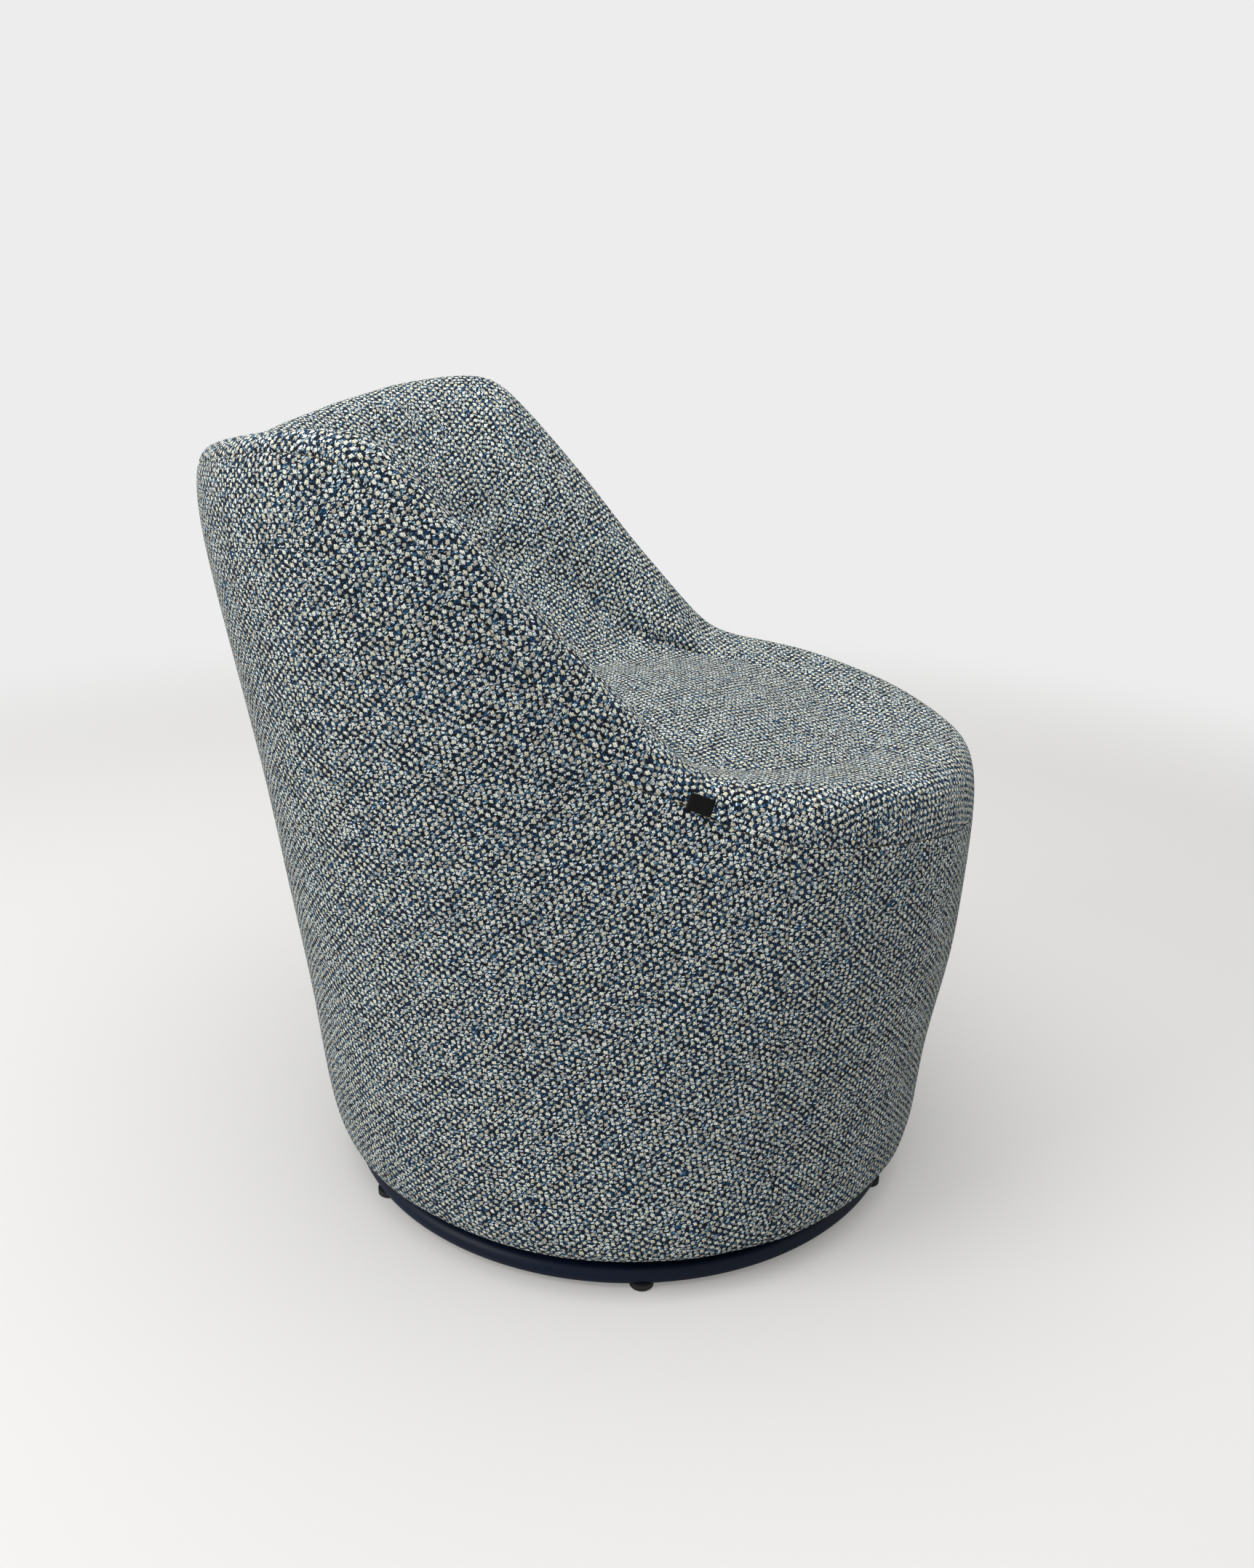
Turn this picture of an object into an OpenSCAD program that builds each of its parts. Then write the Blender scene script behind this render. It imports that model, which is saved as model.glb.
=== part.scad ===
// Swivel armchair: an upholstered tub on a round tube base.
// Millimetres, +Z up, the chair faces -Y and stands on z = 0.
// Plan angles are counted from the front, -Y, towards the sitter's left, +X.

/* [Outline of the tub] */
// Plan distance from the swivel axis to the edge line at the front
edge_front = 348; // [325:1:365]
// Plan distance to the edge line half way to the side
edge_front_corner = 321; // [305:1:335]
// Plan distance to the edge line at the side
edge_side = 284; // [275:1:300]
// Plan distance to the edge line at the back corner
edge_back_corner = 392; // [375:1:400]
// Plan distance to the edge line in the middle of the back
edge_back = 405; // [390:1:415]
// Height of the edge line beside the seat
arm_z = 480; // [470:1:500]
// Height of the edge line at the back corners
back_z = 762; // [720:1:800]
// Distance in front of the axis at which the arms start to rise
rise_front = 76; // [60:1:100]
// Distance behind the axis at which the arms reach the back's height
rise_back = 202; // [180:1:230]
// Length over which the rise starts softly
rise_front_round = 28; // [10:1:50]
// Length over which the rise ends softly
rise_back_round = 22; // [8:1:40]
// Depth of the dip in the top edge of the back
back_dip = 56; // [20:1:70]
// Drop of the edge line at the front
front_dip = 36; // [15:1:45]
// Radius of the tub where it meets the base
base_r = 310; // [300:1:320]
// Length of fabric turned in under the base board
turn_in = 48; // [44:1:60]
// Slack of the turned-in fabric under the base board
turn_slack = 1.5; // [1.4:0.1:2.5]
// Radius of the bottom edge
turn_r = 11; // [8:0.5:11]
// Bulge of the lower part of the wall
wall_low = -5; // [-8:0.5:4]
// Bulge of the upper part of the front wall
wall_high_front = 5; // [-2:0.5:8]
// Bulge of the upper part of the back wall
wall_high_back = -10; // [-12:0.5:4]

/* [Edge roll and seat] */
// Width of the padded edge roll
roll_w = 103; // [95:1:115]
// Depth over which the roll's sides round off
roll_h = 77; // [65:1:85]
// Rise of the roll's crest over the edge line
roll_crown = 8; // [3:1:14]
// Rise of the arm over which the roll turns from level to upright
roll_blend = 132; // [110:1:150]
// Height of the seat at its crease
seat_z = 474; // [465:1:480]
// Rise of the seat's middle over its crease
seat_crown = 12; // [5:1:20]
// Length over which the crease levels out at the seat's height
crease_soft = 12; // [6:1:20]
// Distance from the axis to the crease at the front
crease_front = 222; // [210:1:230]
// Distance from the axis to the crease at the side
crease_side = 185; // [178:1:195]
// Distance from the axis to the crease at the back
crease_back = 181; // [170:1:190]

/* [Fabric and foam] */
// Thickness of the fabric with its backing
fabric_t = 2.2; // [1.5:0.1:3]
// Plan angle of the two upright front seams
seam_angle = 60; // [54:1:66]
// Place of the level seam along the rib, in spans of its curve
seam_span = 5.5; // [5.3:0.05:5.7]
// How far the level seam climbs at the back, in spans
seam_climb = 0.45; // [0:0.05:0.5]
// How far the level seam drops in the middle of the front, in spans
seam_drop = 0.25; // [0:0.05:0.3]
// Wave of the level seam where the arm starts to rise, in spans
seam_wave = 0.18; // [0:0.02:0.25]
// Plan angle of the middle of that wave
seam_wave_at = 82; // [78:1:86]
// Plan angle from its middle to its highest place
seam_wave_width = 8; // [6:1:10]
// Width of the line between two sewn panels
seam_gap = 0.8; // [0.4:0.1:1.5]
// Thickness of the foam on the outside of the frame
foam_out = 34; // [30:1:38]
// Thickness of the foam on the inner side of the back
foam_in = 38; // [34:1:44]
// Height of foam above the frame's highest edge
foam_over = 110; // [100:1:120]
// Thickness of the seat foam at its crease
seat_foam_t = 100; // [85:1:110]
// Width of the wall foam's seat on the rim
foam_ledge = 12; // [8:1:16]
// Width of the plain side tag
tag_w = 22; // [15:1:30]
// Height of the plain side tag
tag_h = 15; // [10:1:20]
// Thickness of the folded side tag
tag_t = 1.2; // [0.6:0.1:2]
// Plan angle of the side tag
tag_angle = -75; // [-76:1:-74]
// Angle by which the side tag leans off the roll
tag_lean = 8; // [7:1:15]

/* [Plywood frame] */
// Distance from the fabric's bottom radius in to the base board's edge
board_inset = 25; // [20:1:30]
// Thickness of the base board
board_t = 18; // [15:1:21]
// Radius of the hole in the middle of the base board
board_hole_r = 24; // [20:1:30]
// Thickness of the upright formers
former_t = 18; // [12:1:20]
// Gap beside a former for the foam's glue line
former_side = 8; // [7:0.5:10]
// Gap above a former
former_over = 14; // [12:1:18]
// Radius of the hole that lightens each former
former_hole_r = 26; // [15:1:30]
// Thickness of the seat rim
rim_t = 12; // [9:1:15]
// Width of the seat rim inside the crease
rim_w = 40; // [30:1:45]
// Width of the seat rim outside the wall foam's seat
rim_lap = 20; // [16:1:22]
// Thickness of the rails between the formers
rail_t = 18; // [12:1:20]
// Height of the rails
rail_h = 52; // [40:1:60]
// Distance from the foam's inner wall to the middle of a rail
rail_inset = 26; // [22:1:32]
// Height of the lower back rail over the seat rim
rail_low = 24; // [15:1:35]
// Height of the upper back rail over the seat rim
rail_high = 106; // [95:1:115]
// Number of seat straps each way
straps = 4; // [2:1:5]
// Width of a seat strap
strap_w = 50; // [30:1:60]
// Thickness of a seat strap
strap_t = 1.5; // [1:0.1:2]
// Thickness of the dust cover
dust_t = 0.6; // [0.4:0.1:1]

/* [Base and swivel] */
// Radius of the base ring's centre line
ring_r = 282; // [270:1:290]
// Outside diameter of the ring's tube
tube_d = 20; // [18:0.5:24]
// Clear height of the ring over the floor
ring_clear = 4; // [3:0.5:8]
// Number of feet
feet = 6;
// Diameter of a foot
foot_d = 22.5; // [20:0.5:28]
// Height of a foot's pad
foot_h = 7; // [5:0.5:8]
// Diameter of a foot's stem
stem_d = 6; // [4:0.5:8]
// Plan angle of the first foot
foot_turn = 38; // [0:1:59]
// Width of the cross bars
bar_w = 30; // [20:1:40]
// Height of the cross bars
bar_h = 15; // [12:1:18]
// Wall of the cross bars
bar_wall = 2; // [1.5:0.25:3]
// Plan angle of the cross bars
bar_turn = 53; // [45:1:60]
// Thickness of the hub plate
hub_t = 4; // [3:0.5:6]
// Thickness of the swivel plates
plate_t = 2.5; // [2:0.25:3]
// Clear height between the swivel plates
plate_gap = 10; // [9:0.5:12]
// Radius of the circle of balls
race_r = 95; // [90:1:98]
// Width of the raised races
race_w = 14; // [11:0.5:16]
// Diameter of a ball
ball_d = 7; // [6:0.25:8]
// Number of balls
balls = 24; // [12:1:30]
// Thickness of the ball cage
cage_t = 1.2; // [0.8:0.1:1.4]
// Width of the ball cage
cage_w = 18; // [14:0.5:20]
// Diameter of the pivot stud
stud_d = 12; // [10:0.5:16]
// Width across the flats of the pivot nut
nut_w = 19; // [17:0.5:24]
// Height of the pivot nut
nut_h = 8; // [6:0.5:10]
// Diameter of the plate bolts
bolt_d = 6; // [5:0.5:7]
// Distance of the plate bolts outside the circle of balls
bolt_out = 17; // [16:0.5:18]
// Width of the plates outside the circle of bolts
plate_edge = 8; // [7:0.5:18]

/* [Hidden] */
$fn = 96;

// The swivel's plates follow the circle of balls
bolt_r = race_r + bolt_out;
hub_r = bolt_r + plate_edge;

// Clearances
fit_gap = 0.3;
run_gap = 0.05;
ball_gap = 0.1;
bolt_gap = 0.1;
cage_gap = 0.4;

// Heights from the floor up
tube_r = tube_d / 2;
ring_z = ring_clear + tube_r;
bar_top = ring_z + bar_h / 2;
hub_top = bar_top + hub_t;
race_z = hub_top + plate_t;
ball_z = race_z + plate_gap / 2;
board_z = race_z + plate_gap + plate_t;
board_top = board_z + board_t;
base_z = board_z - turn_slack - fabric_t;
rim_top = seat_z - seat_foam_t;
rim_z = rim_top - rim_t;
strap_top = rim_top + 2 * strap_t;
seat_top = seat_z + seat_crown;

// Bolt heads, nuts and the stud's length
head_h = 3.5;
head_r = 5;
head_edge = 0.3;
tee_r = 9;
tee_t = 1.5;
tee_barrel = 10;
tee_wall = 1.2;
nut_t = 5;
washer_t = 2;
washer_r = 15;
stud_over = 3;
stem_gap = 1;

// Columns of the upholstery's net: steps between the front seams, and round the rest
FRONT_STEPS = 12;
WRAP_STEPS = 30;
COLS = FRONT_STEPS + WRAP_STEPS;
SIDE_STEPS = 9;
// Half the turn over which the tag's seat on the roll is measured
TAG_TURN = 4;
half_step = max(seam_angle / FRONT_STEPS, (180 - seam_angle) / WRAP_STEPS);
board_r = base_r - board_inset;
// Corner radius of a many-sided ring whose flats clear the base board
board_clear = (board_r + fit_gap) / cos(half_step);

// Plan angles of the formers
FORMERS = [0, 50, -50, 100, -100, 140, -140, 180];

// Every rib is one cubic B-spline through SPANS spans, from under the base to the seat's middle
SPANS = 13;
CREST = 7;
CREASE = 10.5;
WALL_ROWS = [1.1, 1.4, 1.8, 2.4, 3.2, 4.1];
TURN_ROWS = [0.6, 0.85];
INNER_ROWS = [7.5, 8.1, 8.8, 9.5, 10.1];
SEAT_ROWS = [11, 11.6, 12.3];

edge_plan = [edge_front, edge_front_corner, edge_side, edge_back_corner, edge_back];
rise = rise_front + rise_back;

function lerp(a, b, t) = a + (b - a) * t;
function clamp01(x) = min(max(x, 0), 1);
function smooth(x) = let (t = clamp01(x)) t * t * (3 - 2 * t);
function soft_ramp(x, e) = (x + sqrt(x * x + e * e)) / 2;
function unit(v) = v / norm(v);
function reverse(v) = [for (i = [len(v) - 1:-1:0]) v[i]];

// The edge line's plan: a smooth curve through one distance every 45 degrees, alike left and right
function plan_point(k) = edge_plan[k < 0 ? -k : k > 4 ? 8 - k : k];
function plan_r(u) =
    let (a = acos(cos(u)) / 45,
        i = min(floor(a), 3),
        t = a - i,
        p0 = plan_point(i - 1),
        p1 = plan_point(i),
        p2 = plan_point(i + 1),
        p3 = plan_point(i + 2))
    (2 * p1 + (p2 - p0) * t + (2 * p0 - 5 * p1 + 4 * p2 - p3) * t * t
        + (3 * p1 - p0 - 3 * p2 + p3) * t * t * t) / 2;

// The edge line's height: level beside the seat, rising along the arms, dipping in front and behind
function edge_z(u) =
    let (t = (rise_front - plan_r(u) * cos(u)) / rise,
        ramp = soft_ramp(t, rise_front_round / rise) - soft_ramp(t - 1, rise_back_round / rise))
    arm_z + (back_z - arm_z) * ramp
        - front_dip * pow(max(cos(u), 0), 2)
        - back_dip * pow(max(-cos(u), 0), 4);

// The crease's plan
function crease_r(u) =
    (crease_front + 2 * crease_side + crease_back) / 4
        + (crease_front - crease_back) / 2 * cos(u)
        + (crease_front - 2 * crease_side + crease_back) / 4 * cos(2 * u);

// A rib's control points as [distance from the axis, height], in plan direction u
function rib(u) =
    let (edge = [plan_r(u), edge_z(u)],
        foot = [base_r, base_z],
        up = unit(edge - foot),
        out = [up[1], -up[0]],
        arm = smooth((edge[1] - arm_z) / roll_blend),
        shoulder = edge - roll_h * up,
        crown = edge + roll_crown * up,
        inner = edge - roll_w * out - roll_h * arm * up,
        level = edge[1] + roll_crown / 2,
        crease = [crease_r(u), level - soft_ramp(level - seat_z, crease_soft)],
        high = lerp(wall_high_front, wall_high_back, (1 - cos(u)) / 2))
    [
        [0, base_z],
        [base_r - turn_in, base_z],
        [base_r - turn_r, base_z],
        [base_r + turn_r / 4, base_z + turn_r],
        lerp(foot, shoulder, 0.30) + wall_low * out,
        lerp(foot, shoulder, 0.66) + high * out,
        shoulder,
        crown - 0.1 * roll_w * out,
        crown - 0.5 * roll_w * out,
        inner,
        lerp(inner, crease, 0.55),
        crease,
        lerp(crease, [0.6 * crease[0], seat_top], 0.2),
        [0.6 * crease[0], lerp(crease[1], seat_top, 0.75)],
        [0.25 * crease[0], seat_top],
        [0, seat_top]
    ];

// Points on a clamped uniform cubic B-spline, by de Boor's rule
function knot(i) = min(max(i - 3, 0), SPANS);
function boor(p, s, r, i) =
    r == 0 ? p[i]
        : let (a = (s - knot(i)) / (knot(i + 4 - r) - knot(i)))
            (1 - a) * boor(p, s, r - 1, i - 1) + a * boor(p, s, r - 1, i);
function curve(p, s) = boor(p, s, 3, min(floor(s), SPANS - 1) + 3);

// The same point moved in by depth, square to the surface but within the rib's own plane
function inset(a, b, c, s, depth) =
    let (p = curve(b, s),
        along = curve(b, s + 0.05) - curve(b, s - 0.05),
        round_trip = curve(c, s) - curve(a, s),
        n = unit(cross([round_trip[0], p[0] * PI / 90, round_trip[1]], [along[0], 0, along[1]])))
    p - depth * [n[0], n[2]] / (n[0] * n[0] + n[2] * n[2]);
function rib_points(u, rows, depth) =
    let (a = rib(u - 1), b = rib(u), c = rib(u + 1))
    [for (s = rows) inset(a, b, c, s, depth)];

// Plan direction of a column, and a rib's points set out in it
function column(j) =
    j <= FRONT_STEPS ? lerp(-seam_angle, seam_angle, j / FRONT_STEPS)
        : lerp(seam_angle, 360 - seam_angle, (j - FRONT_STEPS) / WRAP_STEPS);
function set_out(u, points) = [for (p = points) [p[0] * sin(u), -p[0] * cos(u), p[1]]];

// Rows of the net below and above the level seam
function swing(x) = x * exp((1 - x * x) / 2);
function seam_at(u) =
    seam_span
        + seam_climb * smooth((acos(cos(u)) - 95) / 40)
        - seam_drop * pow(max(cos(u), 0), 8)
        - seam_wave * swing((acos(cos(u)) - seam_wave_at) / seam_wave_width);
function rows_under(u, gap) =
    let (s = seam_at(u), last = WALL_ROWS[len(WALL_ROWS) - 1])
    concat(WALL_ROWS, [lerp(last, s, 1 / 3), lerp(last, s, 2 / 3), s - gap]);
function rows_over(u, gap) =
    let (s = seam_at(u))
    concat([s + gap, lerp(s, CREST, 1 / 3), lerp(s, CREST, 2 / 3), CREST], INNER_ROWS, [CREASE]);

// Share of a span, and of a degree, that half the seam line takes
seam_row = seam_gap / 2 / 75;
seam_turn = seam_gap / 2 / base_r * 180 / PI;

// The model's middle, front to back, comes over the origin
front_reach = max([for (p = rib_points(0, rows_under(0, 0), 0)) p[0]]);
back_reach = max([for (p = rib_points(180, rows_under(180, 0), 0)) p[0]]);
mid_y = (back_reach - front_reach) / 2;

// The hollow for the frame: its top outer corner, top inner corner and inner foot in direction u
function hollow_share(u) = clamp01((edge_z(u) - foam_over - rim_top) / 40);
function flat_r(u) = lerp(base_r, plan_r(u), (rim_top - base_z) / (edge_z(u) - base_z)) - foam_out;
function hollow(u) =
    let (edge = [plan_r(u), edge_z(u)],
        up = unit(edge - [base_r, base_z]),
        out = [up[1], -up[0]],
        top = edge - foam_over * up,
        level = [flat_r(u), rim_top + fit_gap],
        k = hollow_share(u))
    [
        lerp(level, top - foam_out * out, k),
        lerp(level - [rim_lap, 0], top - (roll_w - foam_in) * out, k),
        [crease_r(u) + foam_ledge, rim_top + fit_gap]
    ];
// Distance of the hollow's outer wall from the axis at height z
function hollow_r(u, z) =
    let (top = hollow(u)[0], t = (z - board_top) / (top[1] - board_top))
    lerp(board_clear, top[0], t);

// Outlines of the seat rim
function rim_outer(u) =
    lerp(flat_r(u) - former_side, crease_r(u) + foam_ledge + rim_lap, hollow_share(u));
function rim_inner(u) = crease_r(u) - rim_w;
function plan_outline(distances) =
    [for (j = [0:COLS - 1]) [distances[j] * sin(column(j)), -distances[j] * cos(column(j))]];

module in_place() {
    translate([0, -mid_y, 0])
        children();
}

module facing(u) {
    rotate([0, 0, u - 90])
        children();
}

// Two triangles over a quad, cut along either diagonal
function quad(a, b, c, d, rising) = rising ? [[a, d, c], [a, c, b]] : [[a, d, b], [b, d, c]];
// Diagonals mirror on the chair's two sides, and a sheet's inner face has those of its outer face
function is_left(p, q) = p[0] + q[0] > 0;

// Triangles over one outline: its points before the fold against those after it, which hand over at the ties
function end_face(n, fold, ties) = concat(
    [for (i = [0:fold - 2]) [i, i + 1, n - 1 - len([for (t = ties) if (t <= i) t])]],
    [for (k = [0:len(ties) - 1]) [ties[k], n - 2 - k, n - 1 - k]]
);

// A solid through closed outlines of equally many points, one after the other, that turn back at a fold
module loft(outlines, fold, ties) {
    m = len(outlines);
    n = len(outlines[0]);
    end = end_face(n, fold, ties);
    skin = [
        for (j = [0:m - 2], k = [0:n - 1])
            let (a = j * n + k, d = j * n + (k + 1) % n, left = is_left(outlines[j][k], outlines[j + 1][k]))
            each quad(a, a + n, d + n, d, left != (k >= fold))
    ];
    ends = [for (t = end) each [reverse(t), [for (k = t) (m - 1) * n + k]]];
    polyhedron([for (o = outlines) each o], concat(skin, ends), convexity = 10);
}

// A closed solid round the axis: each path runs from near the start pole to a fold and on to near the end pole
module spun(paths, start, end, fold) {
    m = len(paths);
    n = len(paths[0]);
    skin = [
        for (j = [0:m - 1], k = [0:n - 2])
            let (a = j * n + k, b = (j + 1) % m * n + k, left = is_left(paths[j][k], paths[(j + 1) % m][k]))
            each quad(a, b, b + 1, a + 1, left != (k < fold))
    ];
    fans = [
        for (j = [0:m - 1])
            let (a = j * n, b = (j + 1) % m * n)
            each [[m * n, a, b], [a + n - 1, m * n + 1, b + n - 1]]
    ];
    polyhedron(concat([for (p = paths) each p], [start, end]), concat(skin, fans), convexity = 10);
}

module ring_tube(r) {
    translate([0, 0, ring_z])
        rotate_extrude()
            translate([ring_r, 0])
                circle(r);
}

module base_ring() {
    color([0.07, 0.09, 0.14])
        difference() {
            ring_tube(tube_r);
            for (k = [0:feet - 1])
                facing(foot_turn + 360 / feet * k)
                    translate([ring_r, 0, 0])
                        cylinder(h = ring_z, d = stem_d + 2 * bolt_gap);
        }
}

module foot(k) {
    edge = 1.2;
    color([0.05, 0.05, 0.06])
        facing(foot_turn + 360 / feet * k) {
            difference() {
                translate([ring_r, 0, 0])
                    union() {
                        cylinder(h = edge, d1 = foot_d - 2 * edge, d2 = foot_d);
                        translate([0, 0, edge])
                            cylinder(h = foot_h - edge, d = foot_d);
                    }
                ring_tube(tube_r + run_gap);
            }
            translate([ring_r, 0, edge])
                cylinder(h = ring_z - edge - stem_gap, d = stem_d);
        }
}

// A cross bar from one distance to another, its end closed onto the ring's tube
module bar(from, to) {
    inside = bar_h - 2 * bar_wall;
    difference() {
        translate([from, -bar_w / 2, ring_z - bar_h / 2])
            cube([to - from, bar_w, bar_h]);
        translate([from + bar_wall, bar_wall - bar_w / 2, ring_z - inside / 2])
            cube([to - from - 2 * bar_wall - tube_r, bar_w - 2 * bar_wall, inside]);
        ring_tube(tube_r + run_gap);
    }
}
bar_end = ring_r - sqrt(tube_r * tube_r - bar_h * bar_h / 4);

module cross_bar_long() {
    color([0.10, 0.11, 0.14])
        facing(bar_turn)
            bar(-bar_end, bar_end);
}

module cross_bar_short(side) {
    color([0.10, 0.11, 0.14])
        facing(bar_turn + side * 90)
            bar(bar_w / 2, bar_end);
}

module plate_bolts(turn) {
    for (k = [0:3])
        facing(bar_turn + turn + 90 * k)
            translate([bolt_r, 0, 0])
                children();
}

module hub_plate() {
    color([0.45, 0.46, 0.48])
        translate([0, 0, bar_top])
            difference() {
                cylinder(h = hub_t, r = hub_r);
                translate([0, 0, -1])
                    cylinder(h = hub_t + 2, d = stud_d + 2 * run_gap);
                plate_bolts(45)
                    translate([0, 0, -1])
                        cylinder(h = hub_t + 2, d = bolt_d + 2 * bolt_gap);
            }
}

module ball_groove() {
    translate([0, 0, ball_z])
        rotate_extrude()
            translate([race_r, 0])
                circle(ball_d / 2 + ball_gap);
}

module race_band(z, h) {
    translate([0, 0, z])
        difference() {
            cylinder(h = h, r = race_r + race_w / 2);
            translate([0, 0, -1])
                cylinder(h = h + 2, r = race_r - race_w / 2);
        }
}

cage_room = cage_t / 2 + cage_gap;

module race_lower() {
    color([0.62, 0.63, 0.65])
        difference() {
            union() {
                translate([0, 0, hub_top])
                    cylinder(h = plate_t, r = hub_r);
                race_band(hub_top, ball_z - cage_room - hub_top);
            }
            ball_groove();
            translate([0, 0, hub_top - 1])
                cylinder(h = plate_t + 2, r = board_hole_r);
            plate_bolts(45)
                translate([0, 0, hub_top - 1])
                    cylinder(h = plate_t + 2, d = bolt_d + 2 * bolt_gap);
        }
}

module race_upper() {
    under = board_z - plate_t;
    color([0.62, 0.63, 0.65])
        difference() {
            union() {
                translate([0, 0, under])
                    cylinder(h = plate_t, r = hub_r);
                race_band(ball_z + cage_room, board_z - ball_z - cage_room);
            }
            ball_groove();
            translate([0, 0, under - 1])
                cylinder(h = plate_t + 2, d = stud_d + 2 * run_gap);
            plate_bolts(0)
                translate([0, 0, under - 1])
                    cylinder(h = plate_t + 2, d = bolt_d + 2 * bolt_gap);
        }
}

module balls() {
    color([0.75, 0.76, 0.78])
        for (k = [0:balls - 1])
            facing(360 / balls * k)
                translate([race_r, 0, ball_z])
                    sphere(d = ball_d, $fn = 32);
}

module ball_cage() {
    color([0.70, 0.60, 0.35])
        difference() {
            translate([0, 0, ball_z - cage_t / 2])
                cylinder(h = cage_t, r = race_r + cage_w / 2);
            translate([0, 0, ball_z - cage_t])
                cylinder(h = 2 * cage_t, r = race_r - cage_w / 2);
            for (k = [0:balls - 1])
                facing(360 / balls * k)
                    translate([race_r, 0, ball_z - cage_t])
                        cylinder(h = 2 * cage_t, r = ball_d / 2 + ball_gap);
        }
}

module bolts_lower() {
    color([0.55, 0.55, 0.58])
        plate_bolts(45) {
            translate([0, 0, race_z])
                cylinder(h = head_h, r = head_r, $fn = 6);
            translate([0, 0, bar_top - nut_t])
                cylinder(h = race_z - bar_top + nut_t, d = bolt_d);
        }
}

module nuts_lower() {
    color([0.55, 0.55, 0.58])
        plate_bolts(45)
            translate([0, 0, bar_top - nut_t])
                difference() {
                    cylinder(h = nut_t, r = head_r + head_edge, $fn = 6);
                    translate([0, 0, -1])
                        cylinder(h = nut_t + 2, d = bolt_d + 2 * run_gap);
                }
}

module bolts_upper() {
    under = board_z - plate_t;
    color([0.55, 0.55, 0.58])
        plate_bolts(0) {
            translate([0, 0, under - head_h])
                cylinder(h = head_h, r = head_r, $fn = 6);
            translate([0, 0, under])
                cylinder(h = board_top - under, d = bolt_d);
        }
}

module tee_nuts() {
    color([0.70, 0.70, 0.72])
        plate_bolts(0)
            difference() {
                union() {
                    translate([0, 0, board_top])
                        cylinder(h = tee_t, r = tee_r);
                    translate([0, 0, board_top - tee_barrel])
                        cylinder(h = tee_barrel, r = bolt_d / 2 + tee_wall);
                }
                translate([0, 0, board_top - tee_barrel - 1])
                    cylinder(h = tee_barrel + tee_t + 2, d = bolt_d + 2 * run_gap);
            }
}

module pivot_stud() {
    color([0.55, 0.55, 0.58])
        translate([0, 0, bar_top])
            cylinder(h = board_z + fit_gap + washer_t + nut_h + stud_over - bar_top, d = stud_d);
}

module pivot_washer() {
    color([0.70, 0.70, 0.72])
        translate([0, 0, board_z + fit_gap])
            difference() {
                cylinder(h = washer_t, r = washer_r);
                translate([0, 0, -1])
                    cylinder(h = washer_t + 2, d = stud_d + 2 * run_gap);
            }
}

module pivot_nut() {
    color([0.55, 0.55, 0.58])
        translate([0, 0, board_z + fit_gap + washer_t])
            difference() {
                cylinder(h = nut_h, d = nut_w / cos(30), $fn = 6);
                translate([0, 0, -1])
                    cylinder(h = nut_h + 2, d = stud_d + 2 * run_gap);
            }
}

module base_board() {
    color([0.80, 0.66, 0.46])
        translate([0, 0, board_z])
            difference() {
                cylinder(h = board_t, r = board_r);
                translate([0, 0, -1])
                    cylinder(h = board_t + 2, r = board_hole_r);
                plate_bolts(0)
                    translate([0, 0, -1])
                        cylinder(h = board_t + 2, r = bolt_d / 2 + tee_wall + bolt_gap);
            }
}

// A former's outline: its foot on the base board, a shoulder under the rim and, behind, a post in the back
function former_outline(u) =
    let (h = hollow(u),
        foot_in = rim_inner(u),
        foot_out = board_r - former_side,
        post_in = rim_outer(u) + fit_gap,
        level = [[foot_in, rim_z], [foot_in, board_top], [foot_out, board_top]])
    hollow_share(u) < 0.5
        ? concat(level, [[flat_r(u) - former_side, rim_z]])
        : concat(level, [
            h[0] - [former_side, former_over],
            h[1] - [-former_side, former_over],
            [post_in, rim_top],
            [post_in, rim_z]
        ]);

module former(u) {
    hole_z = (board_top + rim_z) / 2;
    hole_x = (rim_inner(u) + hollow_r(u, hole_z) - former_side) / 2;
    color([0.80, 0.66, 0.46])
        facing(u)
            translate([0, former_t / 2, 0])
                rotate([90, 0, 0])
                    linear_extrude(former_t)
                        difference() {
                            polygon(former_outline(u));
                            translate([hole_x, hole_z])
                                circle(former_hole_r);
                        }
}

// A point at distance r in direction u, moved sideways by d
function beside(u, r, d) = [r * sin(u) + d * cos(u), d * sin(u) - r * cos(u)];

// A straight board that fills the bay between two formers
module bay_board(ua, ub, z) {
    d = former_t / 2 + run_gap;
    t = rail_t / 2;
    ra = hollow_r(ua, z) - rail_inset;
    rb = hollow_r(ub, z) - rail_inset;
    color([0.80, 0.66, 0.46])
        translate([0, 0, z])
            linear_extrude(rail_h)
                polygon([
                    beside(ua, ra - t, d),
                    beside(ua, ra + t, d),
                    beside(ub, rb + t, -d),
                    beside(ub, rb - t, -d)
                ]);
}

module front_rail() {
    z = rim_z - rail_h;
    bay_board(FORMERS[2], FORMERS[0], z);
    bay_board(FORMERS[0], FORMERS[1], z);
}

module back_rail(over) {
    z = rim_top + over;
    bay_board(FORMERS[5], FORMERS[7], z);
    bay_board(FORMERS[7], 360 + FORMERS[6], z);
}

module seat_rim() {
    color([0.80, 0.66, 0.46])
        translate([0, 0, rim_z])
            linear_extrude(rim_t)
                difference() {
                    polygon(plan_outline([for (j = [0:COLS - 1]) rim_outer(column(j))]));
                    polygon(plan_outline([for (j = [0:COLS - 1]) rim_inner(column(j))]));
                }
}

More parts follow.
